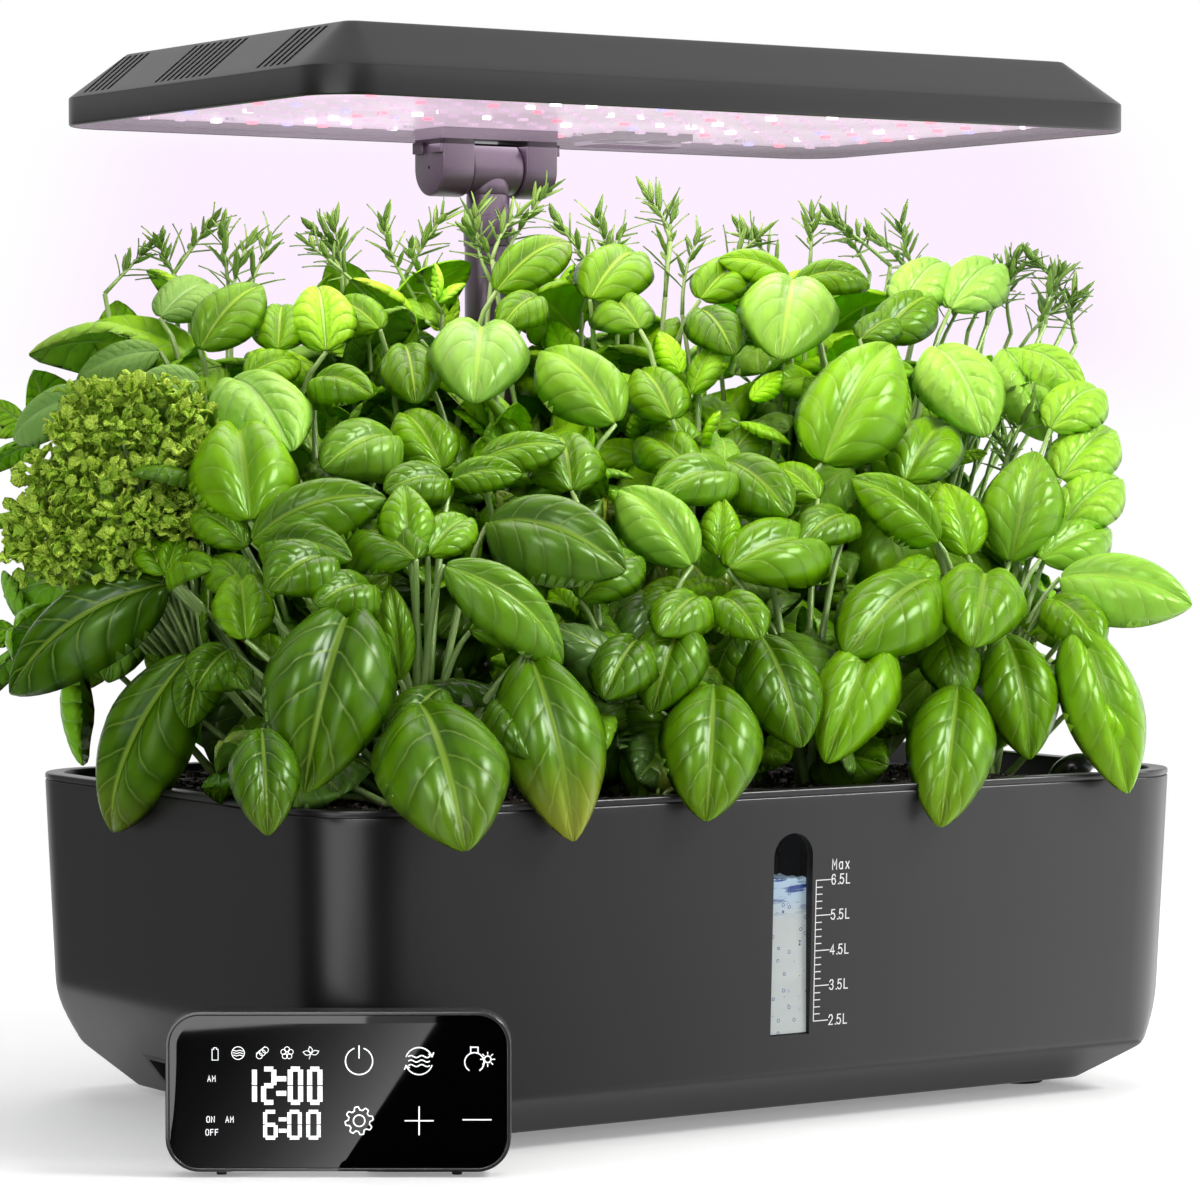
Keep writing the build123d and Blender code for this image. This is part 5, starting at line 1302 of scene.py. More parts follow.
# Leading leaves. Each row: foot across and down the view and its depth, tip across, down and depth,
# width in millimetres and brightness, which holds painted light and shade as well as the leaf's own green;
# where they matter, yellow at the tip, paleness and kind of leaf.
LEADING_LEAVES = (
    # left end
    (168, 584, 5, 10, 694, 40, 38, 0.22), (160, 580, 10, 62, 552, 45, 20, 0.45, 0.0, 0.15),
    (165, 575, 0, 140, 540, 5, 15, 0.6, 0.1), (168, 575, 0, 180, 536, -5, 15, 0.65, 0.1),
    (176, 580, -5, 212, 570, -15, 20, 0.5), (190, 655, -5, 113, 832, 33, 38, 0.3, 0.2),
    (165, 690, 5, 108, 778, 45, 26, 0.25), (203, 660, -20, 188, 728, -14, 18, 0.3),
    (222, 668, -35, 248, 690, -50, 14, 0.35), (246, 640, -55, 240, 572, -45, 22, 0.62, 0.3),
    (252, 600, -45, 212, 560, -30, 20, 0.45), (230, 650, -40, 196, 690, -25, 24, 0.35),
    # front left
    (352, 606, -88, 304, 794, -108, 45, 0.3, 0.05), (262, 730, -100, 268, 836, -124, 24, 0.28, 0.1),
    (420, 704, -104, 466, 852, -128, 46, 0.36, 0.1), (528, 652, -98, 574, 842, -128, 38, 0.42, 0.65),
    (444, 566, -92, 562, 664, -100, 30, 0.5, 0.0, 0.1), (416, 560, -88, 350, 536, -72, 30, 0.4),
    (408, 556, -80, 404, 486, -74, 20, 0.62), (428, 556, -82, 470, 520, -78, 20, 0.6),
    (400, 680, -84, 390, 585, -78, 14, 0.5, 0.1), (470, 632, -86, 556, 640, -84, 18, 0.45),
    (372, 590, -80, 316, 606, -70, 26, 0.4), (330, 560, -72, 268, 590, -56, 30, 0.38),
    (500, 700, -98, 532, 760, -108, 24, 0.3), (440, 690, -90, 396, 752, -96, 24, 0.28),
    # middle left
    (250, 522, -30, 236, 424, -20, 40, 0.62, 0.1), (252, 542, -38, 386, 498, -60, 32, 0.42),
    (246, 548, -30, 192, 515, -10, 18, 0.5), (262, 548, -45, 352, 560, -66, 26, 0.38),
    (395, 440, -8, 322, 470, 8, 33, 0.5, 0.0, 0.1), (442, 470, -20, 402, 414, -12, 26, 0.55),
    (450, 482, -35, 384, 492, -24, 24, 0.42), (452, 480, -40, 522, 474, -50, 18, 0.5),
    (488, 524, -55, 626, 572, -76, 42, 0.36, 0.0, 0.1), (480, 460, -30, 566, 446, -40, 20, 0.5),
    (572, 492, -45, 558, 438, -40, 30, 0.48), (580, 600, -75, 640, 560, -75, 24, 0.42),
    # middle
    (692, 566, -68, 620, 490, -50, 30, 0.72, 0.0, 0.35), (718, 556, -62, 722, 498, -56, 16, 0.7, 0.2),
    (728, 570, -72, 826, 552, -74, 36, 0.55), (684, 618, -90, 652, 714, -102, 28, 0.4),
    (714, 686, -102, 706, 822, -128, 37, 0.45, 0.1), (762, 636, -90, 802, 748, -106, 32, 0.36),
    (720, 600, -80, 760, 640, -92, 24, 0.5), (700, 600, -80, 660, 636, -88, 24, 0.5),
    (734, 482, -38, 650, 500, -36, 28, 0.5, 0.0, 0.05), (725, 462, -30, 790, 516, -46, 30, 0.45),
    (690, 470, -20, 640, 440, -10, 26, 0.5), (640, 640, -84, 604, 700, -92, 26, 0.36),
    # right of the middle
    (822, 464, -30, 890, 344, -14, 44, 0.66, 0.0, 0.05), (905, 482, -36, 946, 424, -24, 30, 0.6),
    (818, 500, -38, 770, 470, -28, 22, 0.6), (850, 520, -50, 800, 545, -56, 24, 0.45),
    (932, 580, -76, 846, 656, -98, 40, 0.5), (938, 542, -64, 852, 478, -48, 28, 0.55),
    (968, 556, -62, 944, 484, -54, 24, 0.72, 0.2), (880, 640, -86, 826, 764, -112, 32, 0.62),
    (940, 624, -80, 962, 704, -92, 24, 0.45), (958, 686, -98, 940, 828, -127, 33, 0.5, 0.15),
    (900, 600, -76, 930, 560, -72, 20, 0.6),
    # right end
    (1010, 562, -62, 1036, 452, -50, 32, 0.62, 0.0, 0.1),
    (1060, 578, -80, 1192, 606, -108, 38, 0.8, 0.0, 0.45), (985, 575, -78, 972, 648, -92, 36, 0.55),
    (1005, 636, -88, 1030, 760, -112, 32, 0.5), (1076, 626, -104, 1128, 794, -129, 32, 0.66, 0.1, 0.05),
    (1090, 690, -117, 1140, 760, -127, 22, 0.75, 0.5), (1050, 600, -84, 1100, 650, -100, 26, 0.55),
    (1040, 560, -70, 1110, 530, -74, 26, 0.7, 0.0, 0.2),
    (1060, 530, -60, 1120, 480, -60, 26, 0.7, 0.0, 0.1, "salad"),
    (1060, 480, -50, 1112, 430, -50, 28, 0.72, 0.1, 0.1, "salad"),
    (1050, 430, -40, 1100, 392, -42, 26, 0.7, 0.2, 0.1, "salad"),
    # upper left
    (200, 350, 60, 262, 286, 66, 26, 0.5, 0.0, 0.05),
    (326, 352, 36, 318, 288, 44, 26, 0.66, 0.35, 0.0, "salad"), (278, 350, 45, 282, 306, 50, 22, 0.55),
    (246, 378, 42, 300, 362, 30, 20, 0.6), (232, 380, 36, 292, 452, 8, 38, 0.55, 0.0, 0.45, "salad"),
    (200, 382, 48, 128, 402, 72, 24, 0.5, 0.0, 0.4, "sage"),
    (160, 352, 76, 76, 384, 100, 22, 0.5, 0.0, 0.3, "sage"),
    (90, 396, 70, 14, 440, 100, 26, 0.45, 0.0, 0.4, "sage"),
    (90, 440, 60, 44, 504, 78, 20, 0.5, 0.0, 0.3, "sage"),
    (160, 318, 88, 215, 290, 84, 24, 0.6, 0.0, 0.2, "sage"), (312, 386, 22, 372, 396, 8, 24, 0.5),
    (405, 346, 30, 416, 404, 12, 24, 0.4), (380, 330, 40, 330, 306, 50, 24, 0.5),
    # upper middle
    (482, 328, 18, 474, 404, -2, 38, 0.6, 0.0, 0.35), (616, 424, -14, 542, 352, 6, 34, 0.6, 0.0, 0.15),
    (496, 292, 48, 570, 244, 56, 24, 0.42, 0.2), (590, 300, 40, 640, 258, 46, 30, 0.5),
    (540, 300, 40, 500, 330, 30, 20, 0.45), (640, 330, 22, 600, 300, 34, 26, 0.5, 0.0, 0.1),
    (700, 310, 34, 734, 356, 20, 24, 0.35), (672, 420, -10, 640, 370, 0, 26, 0.5),
    (700, 300, 40, 748, 270, 46, 24, 0.5),
    # upper right
    (794, 280, 30, 780, 360, 6, 40, 0.6, 0.0, 0.2), (790, 282, 36, 718, 260, 46, 20, 0.55),
    (796, 282, 34, 870, 286, 30, 20, 0.4), (936, 348, 0, 986, 438, -20, 36, 0.68, 0.0, 0.4, "salad"),
    (1004, 350, 0, 1046, 442, -22, 30, 0.62, 0.0, 0.3, "salad"),
    (1020, 350, -6, 1086, 396, -26, 24, 0.66, 0.1, 0.2, "salad"), (880, 340, 14, 932, 296, 22, 26, 0.4),
    (900, 310, 26, 944, 264, 34, 26, 0.6, 0.0, 0.5, "salad"),
    (950, 310, 18, 1000, 270, 22, 28, 0.66, 0.0, 0.6, "salad"), (860, 340, 10, 900, 320, 8, 18, 0.4),
)

# Tips of the rosemary sprigs behind the leaves: across and down the view, and depth.
ROSEMARY_TIPS = (
    (145, 252, 118), (160, 242, 112), (212, 224, 108), (222, 228, 100), (250, 240, 96), (272, 234, 100),
    (308, 244, 92), (311, 230, 98), (332, 222, 92), (384, 222, 88), (410, 250, 84), (444, 216, 86),
    (466, 226, 74), (478, 208, 78), (520, 214, 74), (548, 190, 76), (554, 220, 70), (596, 218, 74),
    (626, 230, 70), (650, 200, 76), (672, 214, 70), (700, 236, 66), (742, 232, 70), (760, 236, 64),
    (812, 216, 68), (830, 220, 62), (836, 224, 66), (868, 236, 60), (900, 222, 62), (988, 274, 30),
    (1014, 258, 32), (1030, 260, 28), (1062, 272, 20), (1078, 296, 12), (952, 402, -10), (985, 392, -14),
    (1016, 386, -18), (1046, 396, -22), (1072, 412, -28), (1000, 440, -26), (1060, 450, -34),
)

# Outline of the curly parsley at the left end: across, down and depth of its sprigs' tips.
PARSLEY_TIPS = (
    (82, 412, 40), (110, 402, 36), (140, 398, 30), (170, 404, 26), (196, 420, 18), (64, 440, 40),
    (94, 446, 34), (126, 436, 28), (158, 440, 20), (190, 458, 12), (40, 480, 44), (70, 482, 36),
    (102, 480, 28), (136, 478, 20), (168, 484, 12), (200, 500, 4), (24, 524, 44), (52, 522, 36),
    (84, 520, 28), (118, 518, 18), (150, 520, 10), (182, 530, 4), (22, 560, 42), (48, 556, 34),
    (78, 556, 24), (110, 556, 16), (140, 556, 10), (210, 470, 6), (120, 420, 60), (80, 430, 66),
    (50, 500, 60), (30, 540, 60),
)


def in_garden(u, v, y):
    """View positions taken to millimetres at their depth, and slid along the camera's ray to stay
    between the garden's ends."""
    points = view_points(u, v, y)
    start = np.array(CAMERA_PLACE)
    ray = points - start
    low, high = LEAF_LOW[0] + 4, LEAF_HIGH[0] - 4
    for limit, beyond in ((low, points[..., 0] < low), (high, points[..., 0] > high)):
        slid = start + ray * ((limit - start[0]) / ray[..., :1])
        points = np.where(beyond[..., None], slid, points)
    return points


def unit(vectors):
    return vectors / np.maximum(np.linalg.norm(vectors, axis=-1, keepdims=True), 1e-9)


def drawn(rng, *ranges):
    """One random number out of each range, drawn in their order."""
    return [rng.uniform(*ends) for ends in ranges]


def curve(start, bow, end, t):
    """Points and directions at t of the quadratic curve from start by bow to end."""
    points = (1 - t) ** 2 * start + 2 * t * (1 - t) * bow + t**2 * end
    return points, unit(2 * (1 - t) * (bow - start) + 2 * t * (end - bow))


def add_leaf(surface, foot, tip, width, facing, shape, tone, place=0, rows=8, across=5):
    """One thin closed leaf.

    Middle line: a quadratic curve from foot to tip bowed by arch times its length along the leaf's
    normal. Half width: width / 2 u^0.55 (1 - u)^0.7 over its greatest value. Section, v from -1 to 1:
    puff (1 - (2 |v| - 1)^2) - curl v^2 times the half width, with a wave along the edge, and a
    blade that thins to its edge.
    """
    arch, puff, curl, wave, phase = shape
    length = np.linalg.norm(tip - foot)
    along = (tip - foot) / max(length, 1e-6)
    normal = unit(facing - along * (facing @ along))
    u = np.linspace(0, 1, rows)
    u = 0.5 * u + 0.5 * (1 - np.cos(np.pi * u)) / 2
    u[0], u[-1] = 0.012, 0.995
    bow = (foot + tip) / 2 + normal * arch * 2 * length
    middle, slope = curve(foot, bow, tip, u[:, None])
    local = unit(normal - slope * (slope @ normal)[:, None])
    side = np.cross(local, slope)
    form = u**0.55 * (1 - u) ** 0.7
    half = width / 2 * form / form.max()
    v = np.concatenate([np.linspace(1, -1, across), np.linspace(-1, 1, across)[1:-1]])
    over = np.concatenate([np.ones(across), -np.ones(across - 2)])
    size = np.abs(v)
    lift = puff * (1 - (2 * size - 1) ** 2) - curl * v**2
    lift = lift[None, :] + wave * v[None, :] ** 2 * np.sin(9 * u[:, None] + phase + 1.6 * np.sign(v)[None, :])
    thickness = over * (0.03 + 0.22 * (1 - v**2))
    points = middle[:, None] + side[:, None] * (half[:, None] * v)[..., None]
    points = points + local[:, None] * (half[:, None] * lift + thickness)[..., None]
    uv = np.stack(np.broadcast_arrays(u[:, None], (v[None, :] + 1) / 2), -1)
    points = np.concatenate([points.reshape(-1, 3), middle[:1], middle[-1:]])
    uv = np.concatenate([uv.reshape(-1, 2), [[0.0, 0.5], [1.0, 0.5]]])
    tone = np.tile((*tone, 1.0), (len(points), 1))
    surface.add(points, closed_faces(rows, len(v)), uv=uv, tone=tone, place=place)


def add_stalk(surface, start, bow, end, thick, thin, rings=6, sides=6, place=1):
    """Stalk: a quadratic curve from start by bow to end, a ring of sides points round it, tapering."""
    t = np.linspace(0, 1, rings)[:, None]
    middle, slope = curve(start, bow, end, t)
    first = unit(np.cross(slope, [0.3, 0.95, 0.05]))
    second = np.cross(slope, first)
    turn = np.linspace(0, 2 * np.pi, sides, endpoint=False)
    around = first[:, None] * np.cos(turn)[:, None] + second[:, None] * np.sin(turn)[:, None]
    skin(middle[:, None] + (thick + (thin - thick) * t)[:, None] * around, surface, place, (0.5, 0.5, 0.5, 1))


def clear_of_mast(foot, tip, margin=15.0):
    """True where a straight line from foot to tip keeps away from the mast."""
    line = (tip - foot)[:2]
    share = np.clip(((MAST_MIDDLE[:2] - foot[:2]) @ line) / max(line @ line, 1e-6), 0, 1)
    return np.linalg.norm(foot[:2] + line * share - MAST_MIDDLE[:2]) > margin


def clear_of_cap(foot, tip):
    """True where a leaf stays off the column that the refill cap is lifted through."""
    line = foot + np.linspace(0, 1, 5)[:, None] * (tip - foot)
    near = np.linalg.norm(line[:, :2] - CAP_MIDDLE, axis=1) < CAP_CLEAR
    return not np.any(near & (line[:, 2] < CAP_LIFTED))


def kept_in(point):
    return np.clip(point, LEAF_LOW, LEAF_HIGH)


def seen_at(points):
    """Places across and down the camera's view, and distances along it, of points in millimetres."""
    right, up, forwards = camera_axes()
    off = np.asarray(points, float) - np.array(CAMERA_PLACE)
    away = off @ forwards
    return np.stack([off @ right, -(off @ up)], -1) * (VIEW_SCALE / away)[..., None] + VIEW_SIZE / 2, away


class Clearing:
    """Keeps other leaves from standing in front of the leading ones."""

    def __init__(self):
        rows = [leaf for leaves in leading_leaves().values() for leaf in leaves]
        self.foot, self.foot_away = seen_at([row[0] for row in rows])
        self.tip, self.tip_away = seen_at([row[1] for row in rows])
        self.half = np.array([row[2] for row in rows]) * VIEW_SCALE / self.tip_away / 2

    def open_for(self, foot, tip, width):
        """True where a leaf from foot to tip hides no leading leaf."""
        points, away = seen_at(foot + np.linspace(0.15, 1.0, 5)[:, None] * (tip - foot))
        line = self.tip - self.foot
        share = ((points[:, None] - self.foot) * line).sum(-1) / (line * line).sum(-1)
        share = np.clip(share, 0.1, 0.92)
        gap = np.linalg.norm(points[:, None] - self.foot - line * share[..., None], axis=-1)
        depth = self.foot_away + (self.tip_away - self.foot_away) * share
        return not np.any((gap < self.half * 0.85 + width * 0.35) & (away[:, None] < depth + 5))


def add_rosette(surface, rng, top, growth, size, pairs, tone, kind_place, clearing):
    """Shoot tip: pairs of leaves set crosswise down the stem, smaller and steeper towards the tip."""
    growth = unit(growth)
    leaves = []
    first = unit(np.cross(growth, [0.2, 0.1, 1.0]) + 1e-3)
    second = np.cross(growth, first)
    start = rng.uniform(0, np.pi)
    for pair in range(pairs):
        share = pair / max(pairs - 1, 1)
        length = size * (1.0 - 0.62 * share) * rng.uniform(0.85, 1.12)
        rise = math.radians(-12 + 74 * share**1.3 + rng.uniform(-10, 10))
        node = top - growth * (1 - share) * size * 0.55
        for hand in (0, 1):
            turn = start + pair * np.pi / 2 + hand * np.pi + rng.uniform(-0.35, 0.35)
            out = first * math.cos(turn) + second * math.sin(turn)
            heading = out * math.cos(rise) + growth * math.sin(rise)
            heading = unit(heading + np.array([0, 0, -0.22 * (1 - share)]))
            foot = node + heading * length * 0.16
            tip = kept_in(foot + heading * length)
            foot = kept_in(foot)
            width = length * rng.uniform(0.66, 0.82)
            shape = drawn(rng, (0.07, 0.16), (0.2, 0.34), (0.2, 0.5), (0.02, 0.05), (0, 6))
            # the tone passed in holds painted light and shade; the upper pairs are lighter still, for the
            # young leaves' paler green and for painted light on the shoot's top
            bright = np.clip(tone + 0.3 * share**2 + rng.uniform(-0.13, 0.13), 0, 1)
            shade = (bright, max(rng.uniform(-1.6, 0.5), 0), max(rng.uniform(-0.5, 0.3), 0))
            fits = clear_of_mast(foot, tip) and clear_of_cap(foot, tip) and np.linalg.norm(tip - foot) >= 6
            fits = fits and tip[0] < LEAF_HIGH[0] - 33
            if not fits or not clearing.open_for(foot, tip, width):
                continue
            facing = unit(growth * 0.75 + np.array([0, 0, 0.4]) - heading * 0.1)
            leaves.append((node, heading, foot, tip, width, facing, shape, shade))
    if len(leaves) < LEAST_LEAVES:
        return False
    for node, heading, foot, tip, width, facing, shape, shade in leaves:
        add_leaf(surface, foot, tip, width, facing, shape, shade, kind_place, rows=10, across=7)
        if np.linalg.norm(tip - foot) > 22:
            add_stalk(surface, node, (node + foot) / 2 + heading, foot, 0.85, 0.6, 3, 5)
    return True


def add_sprig(surface, rng, root, foot, tip, needles, length, place=0):
    """Rosemary sprig: a bowed stem from the pod's root, and slim needles all round its upper end."""
    add_stalk(surface, root, root * [0.4, 0.4, 0.6] + foot * [0.6, 0.6, 0.4], foot, 1.3, 0.9)
    bow = (foot + tip) / 2 + np.array([rng.uniform(-5, 5), rng.uniform(-5, 5), 4])
    add_stalk(surface, foot, bow, tip, 0.9, 0.4, 6, 5)
    for needle in range(needles):
        t = min(0.25 + 0.75 * (needle + rng.uniform(0, 0.8)) / needles, 1.0)
        node, slope = curve(foot, bow, tip, t)
        turn = needle * 2.4 + rng.uniform(-0.3, 0.3)
        first = unit(np.cross(slope, [0.3, 0.9, 0.1]))
        out = first * math.cos(turn) + np.cross(slope, first) * math.sin(turn)
        heading = unit(out * (1.05 - 0.55 * t) + slope * (0.45 + 0.5 * t))
        reach = length * (1.0 - 0.35 * t) * rng.uniform(0.6, 1.25)
        end = node + heading * reach
        end[2] = min(end[2], LEAF_HIGH[2] + 3)
        tone = (rng.uniform(0.5, 1.0), 0.0, rng.uniform(0, 0.25))
        facing = unit(slope + np.array([0.0, -0.2, 0.6]))
        add_leaf(surface, node, end, 2.6, facing, (0.04, 0.0, 0.15, 0.0, 0.0), tone, place, rows=4, across=3)


def add_parsley(surface, rng, foot, tip, place=0):
    """Curly parsley sprig: a stalk that ends in a dome of small frilled leaflets."""
    bow = (foot + tip) / 2 + np.array([0, 0, 8])
    add_stalk(surface, foot, bow, tip - [0, 0, 4], 1.0, 0.7, 5, 5)
    for _ in range(34):
        out = unit(rng.normal(0, 1, 3) + np.array([0, 0, 0.4]))
        base = tip + out * rng.uniform(1, 9)
        end = base + unit(out + rng.normal(0, 0.5, 3)) * rng.uniform(4, 7)
        end = np.clip(end, LEAF_LOW - [6, 0, 0], LEAF_HIGH)
        tone = (rng.uniform(0.5, 1.0), 0.0, rng.uniform(0, 0.15))
        facing = unit(rng.normal(0, 0.6, 3) + np.array([-0.3, -0.4, 0.8]))
        shape = (rng.uniform(0, 0.2), 0.3, rng.uniform(-0.7, 0.7), 0.5, rng.uniform(0, 6))
        add_leaf(surface, base, end, rng.uniform(4, 6.5), facing, shape, tone, place, rows=5, across=5)


KINDS = ("basil", "stem", "salad", "sage", "rosemary", "parsley")
POD_X = (-124.05, -41.35, 41.35, 124.05)
POD_Y = (-70.0, 0.0, 70.0)
ROW_NAMES = ("front", "middle", "back")


def nearest_pod(point):
    """Row and column of the pod that carries a leaf: the nearest one to its foot."""
    column = int(np.argmin([abs(point[0] - x) for x in POD_X]))
    row = int(np.argmin([abs(point[1] - y) for y in POD_Y]))
    return row, column


def leading_leaves():
    """Leading leaves by pod: foot and tip in millimetres, width, tone and kind."""
    pods = {}
    table = np.array([row[:7] for row in LEADING_LEAVES], float)
    feet = in_garden(table[:, 0], table[:, 1], table[:, 2])
    tips = in_garden(table[:, 3], table[:, 4], table[:, 5])
    ray = unit(tips - np.array(CAMERA_PLACE))
    across = np.linalg.norm(tips - feet, axis=1)
    depth = np.sqrt(np.maximum((1.45 * table[:, 6]) ** 2 - across**2, 0.0))
    away = np.where(tips[:, 2] > feet[:, 2] + 4, 0.8, -0.7)
    tips = tips + ray * (depth * away)[:, None]
    for row, foot, tip in zip(LEADING_LEAVES, feet, tips):
        bright, yellow, pale, kind = [*row[7:], *(0.0, 0.0, 0.0, "basil")[len(row) - 7 :]]
        pods.setdefault(nearest_pod(foot), []).append((foot, tip, row[6], (bright, yellow, pale), kind))
    return pods


def crown_share(row, column):
    """Middle of a plant's shoots and their reach to either side, inside its share of the crown."""
    left, right = (30.0, 50.0, 22.0)[row], (20.0, 38.0, 38.0)[row]
    ends_x = (-(RIM_LENGTH / 2 + left), -82.7, 0.0, 82.7, RIM_LENGTH / 2 + right)
    ends_y = (-(RIM_DEPTH / 2 + 14.0), -35.0, 35.0, RIM_DEPTH / 2 + 16.0)
    low = np.array([ends_x[column] + 0.5, ends_y[row] + 0.5, RIM + (12, 40, 52)[row]])
    high = np.array([ends_x[column + 1] - 0.5, ends_y[row + 1] - 0.5, RIM + (128, 172, 200)[row]])
    if row == 0 and column == 3:
        low[2] += 26
    if row == 2 and column == 1:
        high[0] = MAST_MIDDLE[0] - 11.6
    if row == 2 and column == 2:
        low[0] = MAST_MIDDLE[0] + 11.6
    middle = (low + high) / 2
    middle[2] = max(RIM + (30, 62, 84)[row], low[2] + 18)
    return middle, high - middle - [14, 12, 16]


def plant_surface(row, column, fullness, clearing):
    """One pod's plant: leading leaves on their stalks, and rosettes that fill its share of the crown."""
    rng = np.random.default_rng(100 + 10 * row + column)
    surface = Surface()
    foot = np.array([POD_X[column], POD_Y[row], span(f"plant_{ROW_NAMES[row]}_{column + 1}")[0][2]])
    ends = []
    for base, tip, width, tone, kind in leading_leaves().get((row, column), []):
        facing = unit(np.array([-0.35, -0.62, 0.72]))
        shape = drawn(rng, (0.11, 0.17), (0.26, 0.38), (0.25, 0.5), (0.02, 0.05), (0, 6))
        add_leaf(surface, base, tip, width, facing, shape, tone, KINDS.index(kind), rows=20, across=13)
        ends.append(base)
    centre, half = crown_share(row, column)
    for place in range(fullness):
        depth = 1.0 if place % 3 else 0.6
        rise = 1 - 1.3 * (place + 0.5) / fullness
        turn = math.radians(137.508) * place + row + column
        ring = math.sqrt(max(1 - rise * rise, 0))
        out = np.array([ring * math.cos(turn), ring * math.sin(turn), rise])
        boxed = out / np.abs(out).max() ** 0.55
        top = centre + np.clip(boxed, -1, 1) * half * depth + rng.normal(0, 3, 3)
        top = np.clip(top, LEAF_LOW + [26, 8, 8], LEAF_HIGH - [34, 8, 26])
        towards = -0.55 if top[1] < 60 else 0.5
        growth = out * [1.0, 1.0, 0.7] + np.array([towards * 0.35, towards, 0.3])
        growth = unit(growth + rng.normal(0, 0.16, 3))
        if np.linalg.norm(top[:2] - MAST_MIDDLE[:2]) < 22:
            top[:2] = MAST_MIDDLE[:2] + unit(top[:2] - MAST_MIDDLE[:2]) * 24
        # painted light and shade: shoots lighter towards the right and higher up the crown, and the inner
        # ones darker, as the lamps fall on it
        bright = 0.14 + 0.36 * (top[0] + 230) / 460 + 0.4 * (top[2] - RIM) / 200 - 0.35 * (1 - depth)
        salad = (row == 2 and (column == 0 or place % 4 == 0)) or ((row, column) == (1, 3) and place % 3 == 0)
        kind = KINDS.index("salad" if salad else "basil")
        size = rng.uniform(42, 54)
        if add_rosette(surface, rng, top, growth, size, 4, bright, kind, clearing):
            ends.append(top - growth * size * 0.55)
    for end in ends:
        start = foot + [rng.uniform(-3, 3), rng.uniform(-3, 3), -3]
        reach = np.linalg.norm((end - start)[:2])
        bow = np.array([*(start[:2] * 0.55 + end[:2] * 0.45), max(start[2] + 12, end[2] - 0.45 * reach)])
        if clear_of_mast(start, end, 12):
            add_stalk(surface, start, bow, end, 1.7, 0.9, 8, 6)
    add_stalk(surface, foot - [0, 0, 4], foot + [1, 0, 8], foot + [0, 1, 26], 3.2, 2.4, 5, 8)
    for tip in in_garden(*np.array(ROSEMARY_TIPS, float).T):
        if row == 2 and nearest_pod(tip)[1] == column and tip[1] > 0:
            lean = np.array(drawn(rng, (-30, 30), (-14, 6), (16, 34))) * [1, 1, -1]
            add_sprig(surface, rng, foot, tip + lean, tip, 15, 15, 4)
        if (row, column) == (1, 3) and (tip[1] <= 0 or (tip[0] > 80 and tip[1] < 40)):
            lean = np.array(drawn(rng, (-24, 14), (-4, 14), (20, 32))) * [1, 1, -1]
            add_sprig(surface, rng, foot, tip + lean, tip, 16, 15, 4)
    if (row, column) == (1, 0):
        for tip in in_garden(*np.array(PARSLEY_TIPS, float).T):
            add_parsley(surface, rng, np.array([-170.0, tip[1] * 0.6, RIM + 40]), tip, 5)
    return surface


# ---------- settings
def colour_of(name, description, value):
    """A colour setting."""
    return FloatVectorProperty(name=name, description=description, subtype="COLOR", size=3, default=value)


class GardenFinish(bpy.types.PropertyGroup):
    """Colours of the garden's finishes."""

    body: colour_of("Body", "Tank, lid and lamp plastic", (0.007, 0.0065, 0.007))
    # the purple tint of this dark plastic is painted pink light from the lamp
    mast: colour_of("Mast", "Mast, socket and hinge plastic", (0.042, 0.026, 0.042))
    # lilac: painted pink light from the chips on the white enamel
    board: colour_of("Light board", "Enamel behind the lens", (0.62, 0.52, 0.66))
    print: colour_of("Print", "Water scale on the tank", (0.85, 0.85, 0.85))
    sign: colour_of("Signs", "Lit signs on the console", (0.95, 0.97, 1.0))
    # the leaves' blend from deep to bright carries their painted light and shade as well as their own green
    leaf_deep: colour_of("Leaf, deep", "Darkest green of the basil", (0.018, 0.07, 0.0005))
    leaf_bright: colour_of("Leaf, bright", "Brightest green of the basil", (0.42, 0.94, 0.006))
    leaf_vein: colour_of("Leaf vein", "Veins of the basil", (0.5, 0.78, 0.07))
    stem: colour_of("Stem", "Stems and stalks", (0.26, 0.42, 0.1))
    white_light: colour_of("White light", "White light chips", (1.0, 0.93, 1.0))
    red_light: colour_of("Red light", "Red light chips", (1.0, 0.05, 0.08))
    blue_light: colour_of("Blue light", "Blue light chips", (0.16, 0.2, 1.0))
    light_strength: FloatProperty(name="Light strength", description="Glow of chips", default=6.0, min=0.0)


class GardenSizes(bpy.types.PropertyGroup):
    """Amounts and small sizes of the garden's dressing."""

    fullness: IntProperty(name="Shoots", description="Shoot tips in each crown", default=17, min=0, max=40)
    crumbs: IntProperty(name="Crumbs", description="Loose crumbs on the soil", default=1400, min=0)
    grains: IntProperty(name="Pale grains", description="White grains on the soil", default=260, min=0)
    floor: FloatProperty(name="Floor", description="Half width of the floor", default=30.0, unit="LENGTH")
    lamp_light: FloatProperty(name="Lamp light", description="Power of its light", default=0.6, unit="POWER")


# ---------- stage
# Cards round the tank. Each stands on a line from start to end, with a foot on the floor that runs
# back to the wall it serves: name, foot at start and at end, start, end, glow at either end.
REFLECTORS = (
    ("left wall", (-187, -90), (-187, 100), (-640, 60), (-250, 640), 0.33, 0.33),
    ("left shade", (-180, -92), (-180, -90), (-580, -80), (-491, 164), 0.0, 0.0),
    ("corner light", (-163, -104), (-170, -98), (-407, -435), (-579, -124), 4.0, 4.0),
    ("corner shade", (-148, -112), (-160, -106), (-131, -514), (-383, -451), 0.0, 0.0),
    ("front wall left", (-140, -120), (-139, -120), (-125, -560), (130, -560), 0.5, 0.8),
    ("front wall right", (-139, -120), (187, -120), (130, -560), (600, -560), 0.8, 3.6),
    ("front wall end", (187, -119), (188, -118), (600, -560), (1000, -560), 3.6, 4.5),
    ("right wall", (188, -118), (189, -100), (1000, -560), (1000, 300), 3.5, 2.0),
)
CARD_HEIGHT = 370.0
